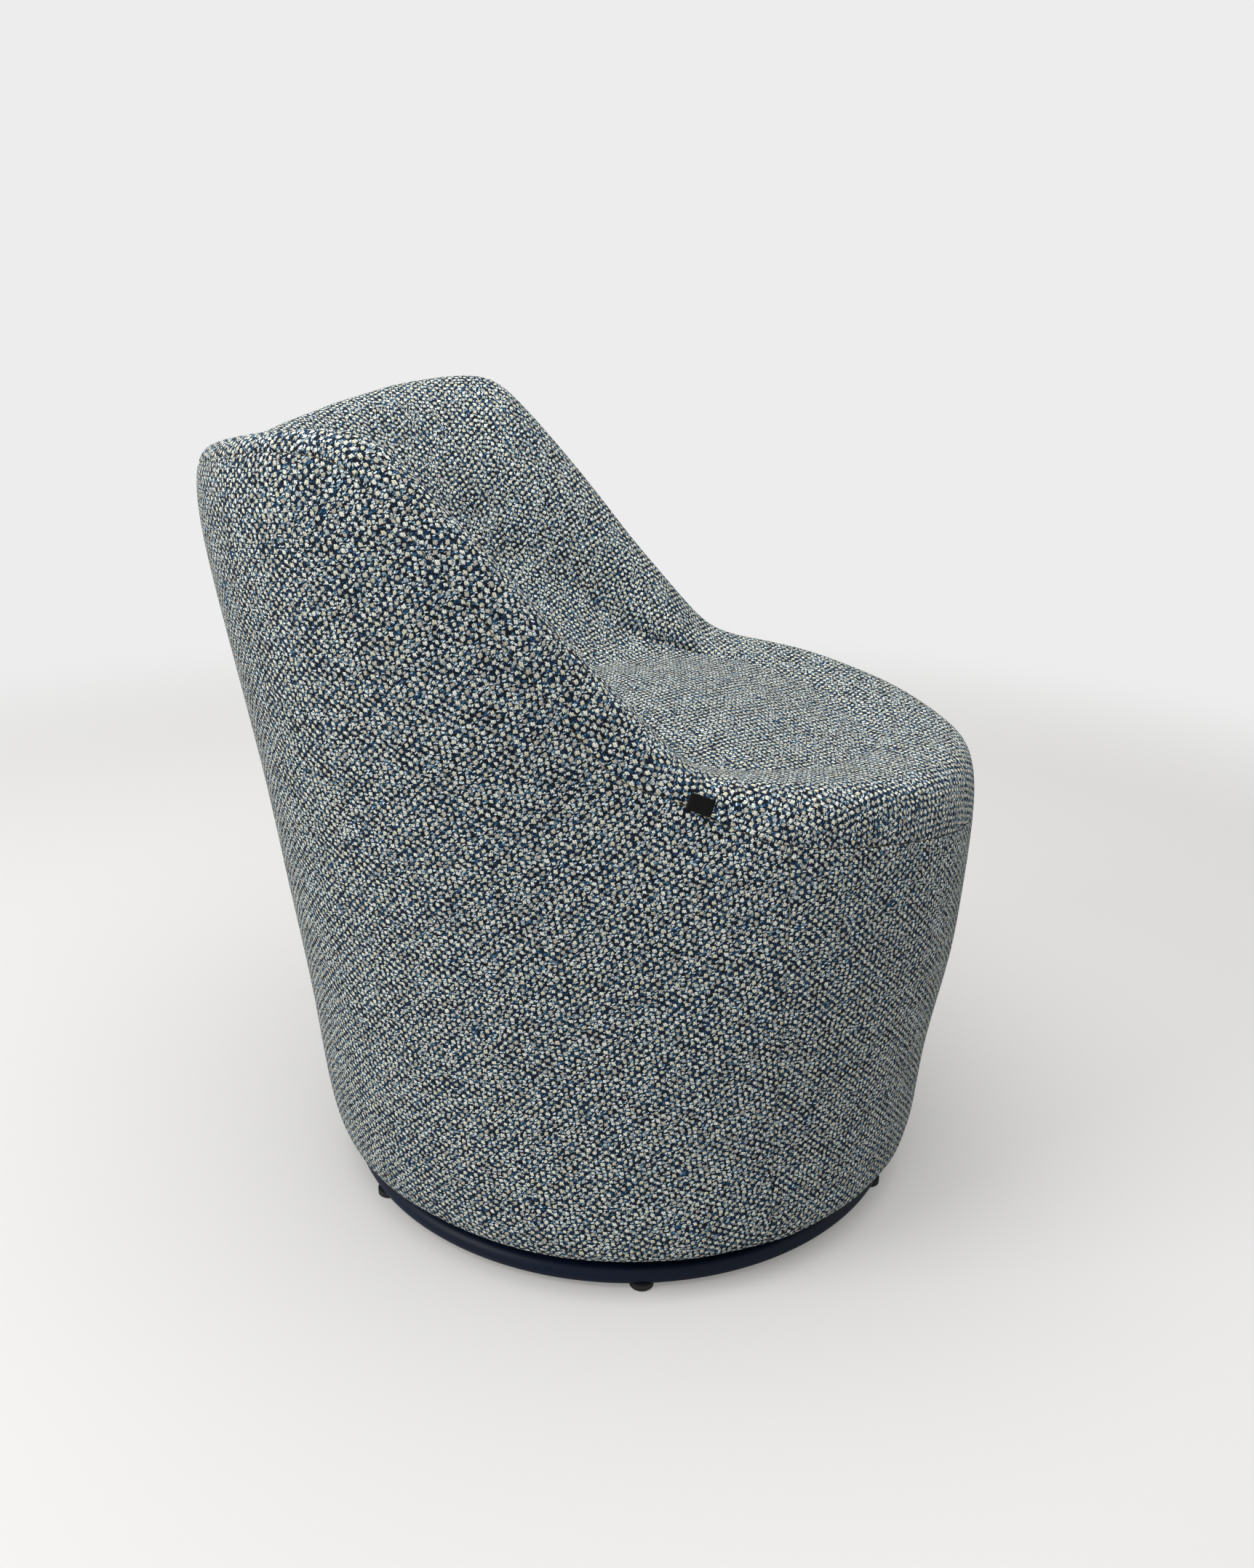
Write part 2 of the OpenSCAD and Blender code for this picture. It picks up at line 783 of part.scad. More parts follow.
// Straps stapled to the rim, cut off just inside the wall foam
module straps(turn, z) {
    reach = crease_front + crease_side;
    pitch = 2 * (crease_side - rim_w) / straps;
    color([0.20, 0.20, 0.22])
        translate([0, 0, z])
            linear_extrude(strap_t)
                intersection() {
                    polygon(plan_outline([for (j = [0:COLS - 1]) crease_r(column(j)) - foam_ledge]));
                    rotate(turn)
                        for (k = [0:straps - 1])
                            translate([-reach, pitch * (k - (straps - 1) / 2) - min(strap_w, 0.8 * pitch) / 2])
                                square([2 * reach, min(strap_w, 0.8 * pitch)]);
                }
}

module dust_cover() {
    turned = curve(rib(0), TURN_ROWS[0])[0] * cos(half_step);
    color([0.12, 0.12, 0.13])
        translate([0, 0, board_z - dust_t])
            difference() {
                cylinder(h = dust_t, r = turned - 6);
                translate([0, 0, -1])
                    cylinder(h = dust_t + 2, r = hub_r + 3);
            }
}

// One closed outline of the wall foam in direction u
foam_depth = fabric_t + fit_gap;
FOAM_FOLD = len(rows_under(0, 0)) + len(rows_over(0, 0));
FOAM_TIES = [3, 4, 14, 15, 16];
function wall_foam(u) =
    let (skin = rib_points(u, concat(rows_under(u, 0), rows_over(u, 0)), foam_depth),
        last = skin[len(skin) - 1],
        h = hollow(u))
    set_out(u, concat(skin, [
        [last[0], rim_top + fit_gap],
        h[2],
        h[1],
        h[0],
        [board_clear, board_top + fit_gap],
        [board_clear, board_z + 1]
    ]));

module foam_wall(first, last) {
    color([0.93, 0.90, 0.80])
        loft([for (j = [first:last]) wall_foam(column(j % COLS))], FOAM_FOLD, FOAM_TIES);
}

module foam_seat() {
    bottom = strap_top + fit_gap;
    color([0.95, 0.92, 0.82])
        spun(
            [
                for (j = [0:COLS - 1])
                    let (u = column(j), p = rib_points(u, concat([CREASE], SEAT_ROWS), foam_depth))
                    set_out(u, concat([[p[0][0] - fit_gap, bottom], p[0] - [fit_gap, 0]],
                        [for (k = [1:len(SEAT_ROWS)]) p[k]]))
            ],
            [0, 0, bottom],
            [0, 0, seat_top - foam_depth],
            0
        );
}

// One closed outline of a sewn side panel in direction u
PANEL_FOLD = len(TURN_ROWS) + len(rows_under(0, 0));
PANEL_TIES = [for (k = [1:PANEL_FOLD - 1]) k];
function panel(u) =
    let (rows = concat(TURN_ROWS, rows_under(u, seam_row)))
    set_out(u, concat(rib_points(u, rows, 0), reverse(rib_points(u, rows, fabric_t))));

module cover_front() {
    n = FRONT_STEPS;
    color([0.43, 0.46, 0.46])
        loft([
            for (j = [0:n])
                panel(column(j) + (j == 0 ? seam_turn : j == n ? -seam_turn : 0))
        ], PANEL_FOLD, PANEL_TIES);
}

module cover_wrap() {
    n = WRAP_STEPS;
    color([0.43, 0.46, 0.46])
        loft([
            for (j = [0:n])
                panel(column(j + FRONT_STEPS) + (j == 0 ? seam_turn : j == n ? -seam_turn : 0))
        ], PANEL_FOLD, PANEL_TIES);
}

module cover_top() {
    color([0.47, 0.50, 0.50])
        spun(
            [
                for (j = [0:COLS - 1])
                    let (u = column(j), rows = concat(rows_over(u, seam_row), SEAT_ROWS))
                    set_out(u, concat(reverse(rib_points(u, rows, fabric_t)), rib_points(u, rows, 0)))
            ],
            [0, 0, seat_top - fabric_t],
            [0, 0, seat_top],
            len(rows_over(0, 0)) + len(SEAT_ROWS)
        );
}

// The plain tag stands up from the level seam and leans off the roll
module side_tag() {
    rows = rows_over(tag_angle, seam_row);
    a = set_out(tag_angle - TAG_TURN, rib_points(tag_angle - TAG_TURN, [rows[0], rows[1]], 0));
    b = set_out(tag_angle + TAG_TURN, rib_points(tag_angle + TAG_TURN, [rows[0], rows[1]], 0));
    low = (a[0] + b[0]) / 2;
    side = unit(b[0] - a[0]);
    rough_up = (a[1] + b[1]) / 2 - low;
    along = unit(rough_up - side * (side * rough_up));
    up = along * cos(tag_lean) + cross(side, along) * sin(tag_lean);
    out = cross(side, up);
    lift = [fit_gap, fit_gap + tag_t];
    corners = [for (d = lift, v = [[-1, 0], [1, 0], [1, 1], [-1, 1]])
        low + side * v[0] * tag_w / 2 + up * (v[1] * tag_h + fit_gap) + out * d];
    color([0.03, 0.03, 0.03])
        polyhedron(corners, [[0, 1, 2, 3], [7, 6, 5, 4], [0, 4, 5, 1], [1, 5, 6, 2], [2, 6, 7, 3], [3, 7, 4, 0]]);
}

in_place() {
    base_ring();
    cross_bar_long();
    cross_bar_short(1);  // cross_bar_left
    cross_bar_short(-1);  // cross_bar_right
    hub_plate();
    foot(0);  // foot_1
    foot(1);  // foot_2
    foot(2);  // foot_3
    foot(3);  // foot_4
    foot(4);  // foot_5
    foot(5);  // foot_6
    race_lower();
    bolts_lower();
    nuts_lower();
    pivot_stud();
    pivot_washer();
    pivot_nut();
    balls();
    ball_cage();
    race_upper();
    bolts_upper();
    tee_nuts();
    base_board();
    former(FORMERS[0]);  // former_front
    former(FORMERS[1]);  // former_front_left
    former(FORMERS[2]);  // former_front_right
    former(FORMERS[3]);  // former_side_left
    former(FORMERS[4]);  // former_side_right
    former(FORMERS[5]);  // former_back_left
    former(FORMERS[6]);  // former_back_right
    former(FORMERS[7]);  // former_back
    front_rail();
    back_rail(rail_low);  // back_rail_low
    back_rail(rail_high);  // back_rail_high
    seat_rim();
    straps(0, rim_top);  // straps_across
    straps(90, rim_top + strap_t);  // straps_along
    dust_cover();
    foam_wall(0, FRONT_STEPS);  // foam_front
    foam_wall(FRONT_STEPS, FRONT_STEPS + SIDE_STEPS);  // foam_left
    foam_wall(COLS - SIDE_STEPS, COLS);  // foam_right
    foam_wall(FRONT_STEPS + SIDE_STEPS, COLS - SIDE_STEPS);  // foam_back
    foam_seat();
    cover_front();
    cover_wrap();
    cover_top();
    side_tag();
}
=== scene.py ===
"""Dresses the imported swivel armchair: woven covers over moulded foam, on a ball-bearing swivel and a tube ring."""

import math

import bmesh
import bpy
import numpy as np
from mathutils import Matrix, Vector


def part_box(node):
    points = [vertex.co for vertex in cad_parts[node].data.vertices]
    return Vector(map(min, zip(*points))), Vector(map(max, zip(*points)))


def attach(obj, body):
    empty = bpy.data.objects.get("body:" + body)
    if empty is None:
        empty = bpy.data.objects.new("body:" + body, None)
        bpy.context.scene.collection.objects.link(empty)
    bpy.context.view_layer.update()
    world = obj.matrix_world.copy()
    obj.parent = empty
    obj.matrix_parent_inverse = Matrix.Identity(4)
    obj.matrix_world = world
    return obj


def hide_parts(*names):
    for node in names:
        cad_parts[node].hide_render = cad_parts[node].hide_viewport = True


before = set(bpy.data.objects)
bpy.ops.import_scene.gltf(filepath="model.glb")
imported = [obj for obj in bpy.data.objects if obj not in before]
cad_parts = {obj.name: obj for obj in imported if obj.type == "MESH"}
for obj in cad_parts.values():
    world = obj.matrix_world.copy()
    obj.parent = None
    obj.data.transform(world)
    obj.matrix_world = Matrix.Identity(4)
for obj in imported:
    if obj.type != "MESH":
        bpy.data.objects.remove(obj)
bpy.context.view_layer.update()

# Sizes of the chair, in metres and degrees
MIDDLE = 0.0265363
EDGE_PLAN = (0.348, 0.321, 0.284, 0.392, 0.405)
ARM_Z, BACK_Z = 0.480, 0.762
RISE_FRONT, RISE_BACK = 0.076, 0.202
ROUND_FRONT, ROUND_BACK = 0.028, 0.022
DIP_FRONT, DIP_BACK = 0.036, 0.056
BASE_R, BASE_Z = 0.310, 0.0368
TURN_IN, TURN_R = 0.048, 0.011
WALL_LOW, WALL_HIGH_FRONT, WALL_HIGH_BACK = -0.005, 0.005, -0.010
ROLL_W, ROLL_H, ROLL_CROWN, ROLL_BLEND = 0.103, 0.077, 0.008, 0.132
SEAT_Z, SEAT_TOP, CREASE_SOFT = 0.474, 0.486, 0.012
CREASE_FRONT, CREASE_SIDE, CREASE_BACK = 0.222, 0.185, 0.181
SEAM_ANGLE, SEAM_SPAN, SEAM_CLIMB, SEAM_DROP = 60.0, 5.5, 0.45, 0.25
SEAM_WAVE, SEAM_WAVE_AT, SEAM_WAVE_WIDTH = 0.18, 82.0, 8.0
SEAM_GAP = 0.0006
SPANS, CREST, CREASE_ROW = 13, 7.0, 10.5
SPAN_CORNER, SPAN_BACK, SPAN_FROM, SPAN_TO = 1.2, 1.5, 7.6, 12.9
RING_R, RING_Z, TUBE_R = 0.282, 0.014, 0.010
TAG_ANGLE, TAG_TURN, TAG_W, TAG_H, TAG_T, TAG_LEAN, TAG_TWIST = -75.0, 4.0, 0.022, 0.015, 0.0012, 8.0, 7.0
BAR_TURN, BAR_W, BAR_H, HUB_R = 53.0, 0.030, 0.015, 0.120
FOAM_OUT, FOAM_IN, FOAM_OVER, FOAM_LEDGE, FOAM_ROUND = 0.034, 0.038, 0.110, 0.012, 0.003
RIM_TOP, RIM_LAP, BOARD_Z, BOARD_TOP, STRAP_TOP = 0.374, 0.020, 0.0405, 0.0585, 0.377
BOARD_CLEAR, FIT, UNDER_CLOTH = 0.2864, 0.0003, 0.0025

# How the covers are woven, cut, sewn and stapled
FLOAT_W, FLOAT_H, STRAND_L, STRAND_W, WEFT_LEAN, WEAVE_DEPTH = 0.0049, 0.0038, 0.0032, 0.00135, 20.0, 0.0019
CLOTH, TAPE, SPAN_LENGTH, HEM_PLACE, CUT_FROM, STAPLE_INSET = 0.0022, 0.0004, 0.075, 0.6, 150.0, 0.007
SEAM_DIP, UPRIGHT_DIP, DIP_W, PUCKER, PUCKER_W = 0.0010, 0.0008, 0.0016, 0.00035, 0.012
FINER, EDGE_SHARES = 4, (0.0, 0.06, 0.14, 0.26, 0.45, 0.70)

# Colours of the finishes and of the weave's painted shade, as written on a sample card
IVORY, CREAM, SAND, OATMEAL = (245, 247, 234), (222, 217, 187), (196, 189, 168), (188, 182, 166)
CHALK, FROST, MIST, PEWTER = (221, 238, 245), (176, 188, 192), (125, 168, 191), (84, 94, 104)
STEEL_BLUE, DEEP_BLUE, FLOAT_SHADE, GROOVE_SHADE = (54, 112, 152), (18, 63, 105), (52, 68, 88), (30, 44, 62)
NAVY, INK_AND_SHADE = (11, 31, 52), (4, 8, 18)


def linear(colour):
    """A sample-card colour as the light that it reflects."""
    parts = [c / 255 for c in colour]
    return [c / 12.92 if c <= 0.04045 else ((c + 0.055) / 1.055) ** 2.4 for c in parts] + [1.0]


# The chair's surface, by the same rule as its solids
def smooth(x):
    """Nought below nought, one above one, and smooth between them."""
    t = np.clip(x, 0, 1)
    return t * t * (3 - 2 * t)


def soft_ramp(x, e):
    """Nought below nought and x above it, with the corner rounded over about e."""
    return (x + np.sqrt(x * x + e * e)) / 2


def between(a, b, t):
    return a + (b - a) * t


def curve_through(p0, p1, p2, p3, t):
    """A smooth curve from p1 to p2 that knows its neighbours p0 and p3, at share t of the way."""
    return (
        2 * p1
        + (p2 - p0) * t
        + (2 * p0 - 5 * p1 + 4 * p2 - p3) * t**2
        + (3 * p1 - p0 - 3 * p2 + p3) * t**3
    ) / 2


def unit(v):
    return v / np.linalg.norm(v, axis=-1, keepdims=True)


def from_front(u):
    """Degrees from the front to plan directions u, by the shorter way."""
    return np.degrees(np.arccos(np.clip(np.cos(np.radians(u)), -1, 1)))


def set_out(u, p):
    """Points in plan directions u, from their distances and heights in p."""
    a = np.radians(u)
    return np.stack([p[..., 0] * np.sin(a), -p[..., 0] * np.cos(a) - MIDDLE, p[..., 1]], -1)


def plan_r(u):
    """The rim's distance from the axis, on a curve through EDGE_PLAN, which steps by 45 degrees from front to back."""
    a = from_front(u) / 45
    i = np.minimum(np.floor(a), 3).astype(int)
    steps = [np.where(k < 0, -k, np.where(k > 4, 8 - k, k)) for k in (i - 1, i, i + 1, i + 2)]
    return curve_through(*np.array(EDGE_PLAN)[np.stack(steps)], a - i)


def edge_z(u):
    """The rim's height: low arms that rise to the back, with a dip at the front and at the back."""
    c = np.cos(np.radians(u))
    rise = RISE_FRONT + RISE_BACK
    t = (RISE_FRONT - plan_r(u) * c) / rise
    ramp = soft_ramp(t, ROUND_FRONT / rise) - soft_ramp(t - 1, ROUND_BACK / rise)
    return (
        ARM_Z
        + (BACK_Z - ARM_Z) * ramp
        - DIP_FRONT * np.maximum(c, 0) ** 2
        - DIP_BACK * np.maximum(-c, 0) ** 4
    )


def crease_r(u):
    """The distance from the axis to the crease round the seat."""
    c, c2 = np.cos(np.radians(u)), np.cos(np.radians(2 * u))
    return (
        (CREASE_FRONT + 2 * CREASE_SIDE + CREASE_BACK) / 4
        + (CREASE_FRONT - CREASE_BACK) / 2 * c
        + (CREASE_FRONT - 2 * CREASE_SIDE + CREASE_BACK) / 4 * c2
    )


def rib(u):
    """Sixteen control points, as distance and height, for each plan direction in u."""
    edge = np.stack([plan_r(u), edge_z(u)], -1)
    foot = np.broadcast_to([BASE_R, BASE_Z], edge.shape)
    up = unit(edge - foot)
    out = np.stack([up[..., 1], -up[..., 0]], -1)
    arm = smooth((edge[..., 1:] - ARM_Z) / ROLL_BLEND)
    shoulder = edge - ROLL_H * up
    crown = edge + ROLL_CROWN * up
    inner = edge - ROLL_W * out - ROLL_H * arm * up
    level = edge[..., 1] + ROLL_CROWN / 2
    reach = crease_r(u)
    crease = np.stack([reach, level - soft_ramp(level - SEAT_Z, CREASE_SOFT)], -1)
    high = between(WALL_HIGH_FRONT, WALL_HIGH_BACK, (1 - np.cos(np.radians(u))) / 2)[..., None]

    def flat(r, z):
        return np.stack([r + 0 * reach, z + 0 * reach], -1)

    return np.stack(
        [
            flat(0, BASE_Z),
            flat(BASE_R - TURN_IN, BASE_Z),
            flat(BASE_R - TURN_R, BASE_Z),
            flat(BASE_R + TURN_R / 4, BASE_Z + TURN_R),
            between(foot, shoulder, 0.30) + WALL_LOW * out,
            between(foot, shoulder, 0.66) + high * out,
            shoulder,
            crown - 0.1 * ROLL_W * out,
            crown - 0.5 * ROLL_W * out,
            inner,
            between(inner, crease, 0.55),
            crease,
            between(crease, flat(0.6 * reach, SEAT_TOP), 0.2),
            flat(0.6 * reach, between(crease[..., 1], SEAT_TOP, 0.75)),
            flat(0.25 * reach, SEAT_TOP),
            flat(0, SEAT_TOP),
        ],
        -2,
    )


def spline_weights(s):
    """The share of each control point at place s along a clamped cubic spline."""
    knots = np.clip(np.arange(SPANS + 7) - 3, 0, SPANS).astype(float)
    s = np.clip(np.asarray(s, float), 0, SPANS - 1e-9)
    w = ((s[..., None] >= knots[:-1]) & (s[..., None] < knots[1:])).astype(float)
    for d in range(1, 4):
        left, right = knots[d:-1] - knots[: -d - 1], knots[d + 1 :] - knots[1:-d]
        a = (s[..., None] - knots[: -d - 1]) / np.where(left > 0, left, 1) * (left > 0)
        b = (knots[d + 1 :] - s[..., None]) / np.where(right > 0, right, 1) * (right > 0)
        w = a * w[..., :-1] + b * w[..., 1:]
    return w


def seam_at(u):
    """The level seam's place up the surface."""
    a = from_front(u)
    front = np.maximum(np.cos(np.radians(u)), 0) ** 8
    x = (a - SEAM_WAVE_AT) / SEAM_WAVE_WIDTH
    wave = SEAM_WAVE * x * np.exp((1 - x * x) / 2)
    return SEAM_SPAN + SEAM_CLIMB * smooth((a - 95) / 40) - SEAM_DROP * front - wave


def surface(u, s):
    """Points of the surface at plan directions u and places s, which have the same shape."""
    return set_out(u, np.einsum("...k,...kc->...c", spline_weights(s), rib(u)))


def stretched(u, s):
    """The surface as stretched cloth lies on it. It spans the corner round the seat, and more so at the back."""
    turn = np.abs((u + 180) % 360 - 180)
    span = between(SPAN_CORNER, SPAN_BACK, smooth((turn - 70) / 40))
    reach = span * smooth((s - SPAN_FROM) / 2.4) * smooth((SPAN_TO - s) / 2.0)
    points, bent = surface(u, s), reach > 0
    if bent.any():
        steps = np.linspace(-2, 2, 11)
        shares = np.exp(-(steps**2) / 2)
        soft = sum(surface(u[bent], s[bent] + reach[bent] * k) * w for k, w in zip(steps, shares))
        points[bent] = soft / shares.sum()
    return points


def outward(u, s):
    """Unit normals of the stretched surface, away from the foam."""
    du, ds = 0.05, 0.004
    across = stretched(u + du, s) - stretched(u - du, s)
    low, high = np.maximum(s - ds, 0), np.minimum(s + ds, SPANS - 1e-6)
    along = stretched(u, high) - stretched(u, low)
    n = np.cross(across, along)
    n[..., 2] += 1e-12
    return unit(n)


# Meshes
def mesh_object(name, points, faces):
    """A new object whose mesh holds these points and faces."""
    mesh = bpy.data.meshes.new(name)
    mesh.from_pydata([tuple(p) for p in points], [], [tuple(f) for f in faces])
    mesh.validate()
    obj = bpy.data.objects.new(name, mesh)
    bpy.context.scene.collection.objects.link(obj)
    mesh.polygons.foreach_set("use_smooth", [True] * len(mesh.polygons))
    return obj


def grid_faces(rows, columns):
    """Faces of a net of rows by columns of points, as rows of four point numbers."""
    a = (np.arange(rows - 1)[:, None] * columns + np.arange(columns - 1)[None, :]).ravel()
    return np.stack([a, a + 1, a + columns + 1, a + columns], 1)


def only(obj):
    """Makes obj the one selected and active object."""
    for o in bpy.context.selected_objects:
        o.select_set(False)
    obj.select_set(True)
    bpy.context.view_layer.objects.active = obj


def apply_all(obj):
    """Turns what the modifiers make into the object's own plain mesh."""
    shown = obj.evaluated_get(bpy.context.evaluated_depsgraph_get())
    obj.data = bpy.data.meshes.new_from_object(shown)
    obj.modifiers.clear()


def laid_flat(points, cut_row=None, cut_along=()):
    """Flattens a net of points, rows by columns by 3, as a cloth cutter would.

    Gives each net cell's four corners in metres on the flat cloth, and the net's area. A net with a cut_row is
    closed: its last column is its first again. It is cut up that column as far as the row, and along the row at
    the cells that cut_along marks.
    """
    rows, columns = points.shape[:2]
    keep = columns if cut_row is None else columns - 1

    def number(r, c):
        return r * keep + c % keep

    flat = points[:, :keep].reshape(-1, 3)
    faces = [
        [number(r, c), number(r, c + 1), number(r + 1, c + 1), number(r + 1, c)]
        for r in range(rows - 1)
        for c in range(columns - 1)
    ]
    obj = mesh_object("pattern", flat, faces)
    if cut_row is not None:
        cuts = {frozenset((number(r, 0), number(r + 1, 0))) for r in range(cut_row)}
        cuts |= {frozenset((number(cut_row, c), number(cut_row, c + 1))) for c in np.flatnonzero(cut_along)}
        for e in obj.data.edges:
            e.use_seam = frozenset(e.vertices) in cuts
    only(obj)
    bpy.ops.object.mode_set(mode="EDIT")
    bpy.ops.mesh.select_all(action="SELECT")
    bpy.ops.uv.unwrap(method="MINIMUM_STRETCH", fill_holes=False, iterations=60, margin=0.001)
    bpy.ops.object.mode_set(mode="OBJECT")
    uv = np.zeros(len(obj.data.loops) * 2)
    obj.data.uv_layers.active.data.foreach_get("uv", uv)
    cells = uv.reshape(rows - 1, columns - 1, 4, 2)
    quads = points[:-1, :-1], points[:-1, 1:], points[1:, 1:], points[1:, :-1]
    real = np.linalg.norm(np.cross(quads[2] - quads[0], quads[3] - quads[1]), axis=-1).sum() / 2
    d1, d2 = cells[:, :, 2] - cells[:, :, 0], cells[:, :, 3] - cells[:, :, 1]
    signed = (d1[..., 0] * d2[..., 1] - d1[..., 1] * d2[..., 0]).sum() / 2
    cells = cells * math.sqrt(real / abs(signed))
    if signed < 0:
        cells[..., 0] *= -1
    bpy.data.objects.remove(obj)
    return cells, real


def turned_up(cells, row, column):
    """Turns flat cloth so that the warp runs up the net at one cell, and starts at the origin."""
    up = cells[row, column, 3] - cells[row, column, 0]
    a = math.pi / 2 - math.atan2(up[1], up[0])
    turn = np.array([[math.cos(a), math.sin(a)], [-math.sin(a), math.cos(a)]])
    cells = cells @ turn
    return cells - cells.reshape(-1, 2).min(0)


def finer(grid, k):
    """A net with k times as many steps each way, on smooth curves through the net's points."""
    for axis in (0, 1):
        g = np.moveaxis(grid, axis, 0)
        g = np.concatenate([2 * g[:1] - g[1:2], g, 2 * g[-1:] - g[-2:-1]])
        t = (np.arange(k) / k).reshape((1, k) + (1,) * (g.ndim - 1))
        fine = curve_through(*(g[i : len(g) - 3 + i, None] for i in range(4)), t)
        fine = np.concatenate([fine.reshape((-1,) + g.shape[1:]), g[-2:-1]])
        grid = np.moveaxis(fine, 0, axis)
    return grid


def corner_net(cells):
    """The flat place of each point of a net, from the corners of its cells."""
    top = np.concatenate([cells[:, :, 0], cells[:, -1:, 1]], 1)
    last = np.concatenate([cells[-1:, :, 3], cells[-1:, -1:, 2]], 1)
    return np.concatenate([top, last])


# Shader work
def binary(operation, swapped=False):
    """A method for Wire that works on two values with one Math node."""

    def method(self, other):
        return self.math(operation, *((other, self) if swapped else (self, other)))

    return method


class Wire:
    """A value between shader nodes. Arithmetic on it adds Math nodes."""

    def __init__(self, paint, socket):
        self.paint, self.socket = paint, socket

    def math(self, operation, *values):
        return self.paint.node("Math", {"operation": operation}, dict(enumerate(values)))

    __add__, __radd__ = binary("ADD"), binary("ADD", swapped=True)
    __sub__, __rsub__ = binary("SUBTRACT"), binary("SUBTRACT", swapped=True)
    __mul__, __rmul__ = binary("MULTIPLY"), binary("MULTIPLY", swapped=True)
    __truediv__, __pow__ = binary("DIVIDE"), binary("POWER")
    __mod__, __gt__ = binary("FLOORED_MODULO"), binary("GREATER_THAN")
    least, most = binary("MINIMUM"), binary("MAXIMUM")

    def __abs__(self):
        return self.math("ABSOLUTE", self)

    def floor(self):
        return self.math("FLOOR", self)

    def sine(self):
        return self.math("SINE", self)

    def ease(self, low, high):
        """Nought below low, one above high, and smooth between them."""
        return self.paint.node(
            "MapRange", {"interpolation_type": "SMOOTHSTEP"}, {"Value": self, "From Min": low, "From Max": high}
        )


class Net:
    """A tree of nodes. node() adds every node."""

    SHARED = ("Math", "VectorMath", "MapRange", "SeparateXYZ", "CombineXYZ")
    FUNCTIONS = ("RandomValue", "AlignRotationToVector")

    def node(self, kind, settings=None, values=None, out=0):
        """A node with its settings made first, then the values or links of its sockets. Gives one output."""
        first = "ShaderNode" if kind in self.SHARED else "FunctionNode" if kind in self.FUNCTIONS else self.FIRST
        made = self.tree.nodes.new(first + kind)
        for key, value in (settings or {}).items():
            if key == "stops":
                ramp = made.color_ramp.elements
                while len(ramp) < len(value):
                    ramp.new(0.5)
                for stop, (place, colour) in zip(ramp, value, strict=True):
                    stop.position, stop.color = place, linear(colour)
            else:
                setattr(made, key, value)
        for key, value in (values or {}).items():
            if isinstance(value, Wire):
                self.tree.links.new(value.socket, made.inputs[key])
            else:
                made.inputs[key].default_value = value
        return Wire(self, made.outputs[out])

    def split(self, vector):
        return [self.node("SeparateXYZ", None, {0: vector}, out=i) for i in range(3)]

    def join(self, x, y, z=0.0):
        return self.node("CombineXYZ", None, {0: x, 1: y, 2: z})


class Shape(Net):
    """A Geometry Nodes tree whose named inputs are its sizes. It starts from an object's mesh, or from nothing."""

    FIRST = "GeometryNode"

    def __init__(self, name, **sizes):
        self.tree = bpy.data.node_groups.new(name, "GeometryNodeTree")
        sockets = self.tree.interface
        for way in ("INPUT", "OUTPUT"):
            sockets.new_socket("Geometry", in_out=way, socket_type="NodeSocketGeometry")
        self.values = {}
        for key, value in sizes.items():
            kind = {int: "Int", float: "Float", tuple: "Vector"}.get(type(value), "Material")
            socket = sockets.new_socket(key.replace("_", " "), in_out="INPUT", socket_type="NodeSocket" + kind)
            self.values[socket.identifier] = value
        self.start = self.tree.nodes.new("NodeGroupInput")

    def size(self, name):
        return Wire(self, self.start.outputs[name])

    def scaled(self, vector, amount):
        return self.node("VectorMath", {"operation": "SCALE"}, {0: vector, "Scale": amount})

    def dot(self, a, b):
        return self.node("VectorMath", {"operation": "DOT_PRODUCT"}, {0: a, 1: b}, "Value")

    def made(self, name, geometry, body, slot, points=(), edges=()):
        """Ends the tree, runs it on a path of edges, and leaves a plain mesh that rides on its body."""
        geometry = self.node("RealizeInstances", None, {"Geometry": geometry})
        geometry = self.node("SetShadeSmooth", None, {0: geometry})
        geometry = self.node("SetMaterial", None, {"Geometry": geometry, "Material": self.size("Material")})
        end = self.tree.nodes.new("NodeGroupOutput")
        self.tree.links.new(geometry.socket, end.inputs[0])
        mesh = bpy.data.meshes.new(name)
        mesh.from_pydata([tuple(p) for p in points], [tuple(e) for e in edges], [])
        obj = bpy.data.objects.new(name, mesh)
        bpy.context.scene.collection.objects.link(obj)
        modifier = obj.modifiers.new("shape", "NODES")
        modifier.node_group = self.tree
        for identifier, value in self.values.items():
            modifier[identifier] = value
        apply_all(obj)
        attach(obj, body)
        return obj


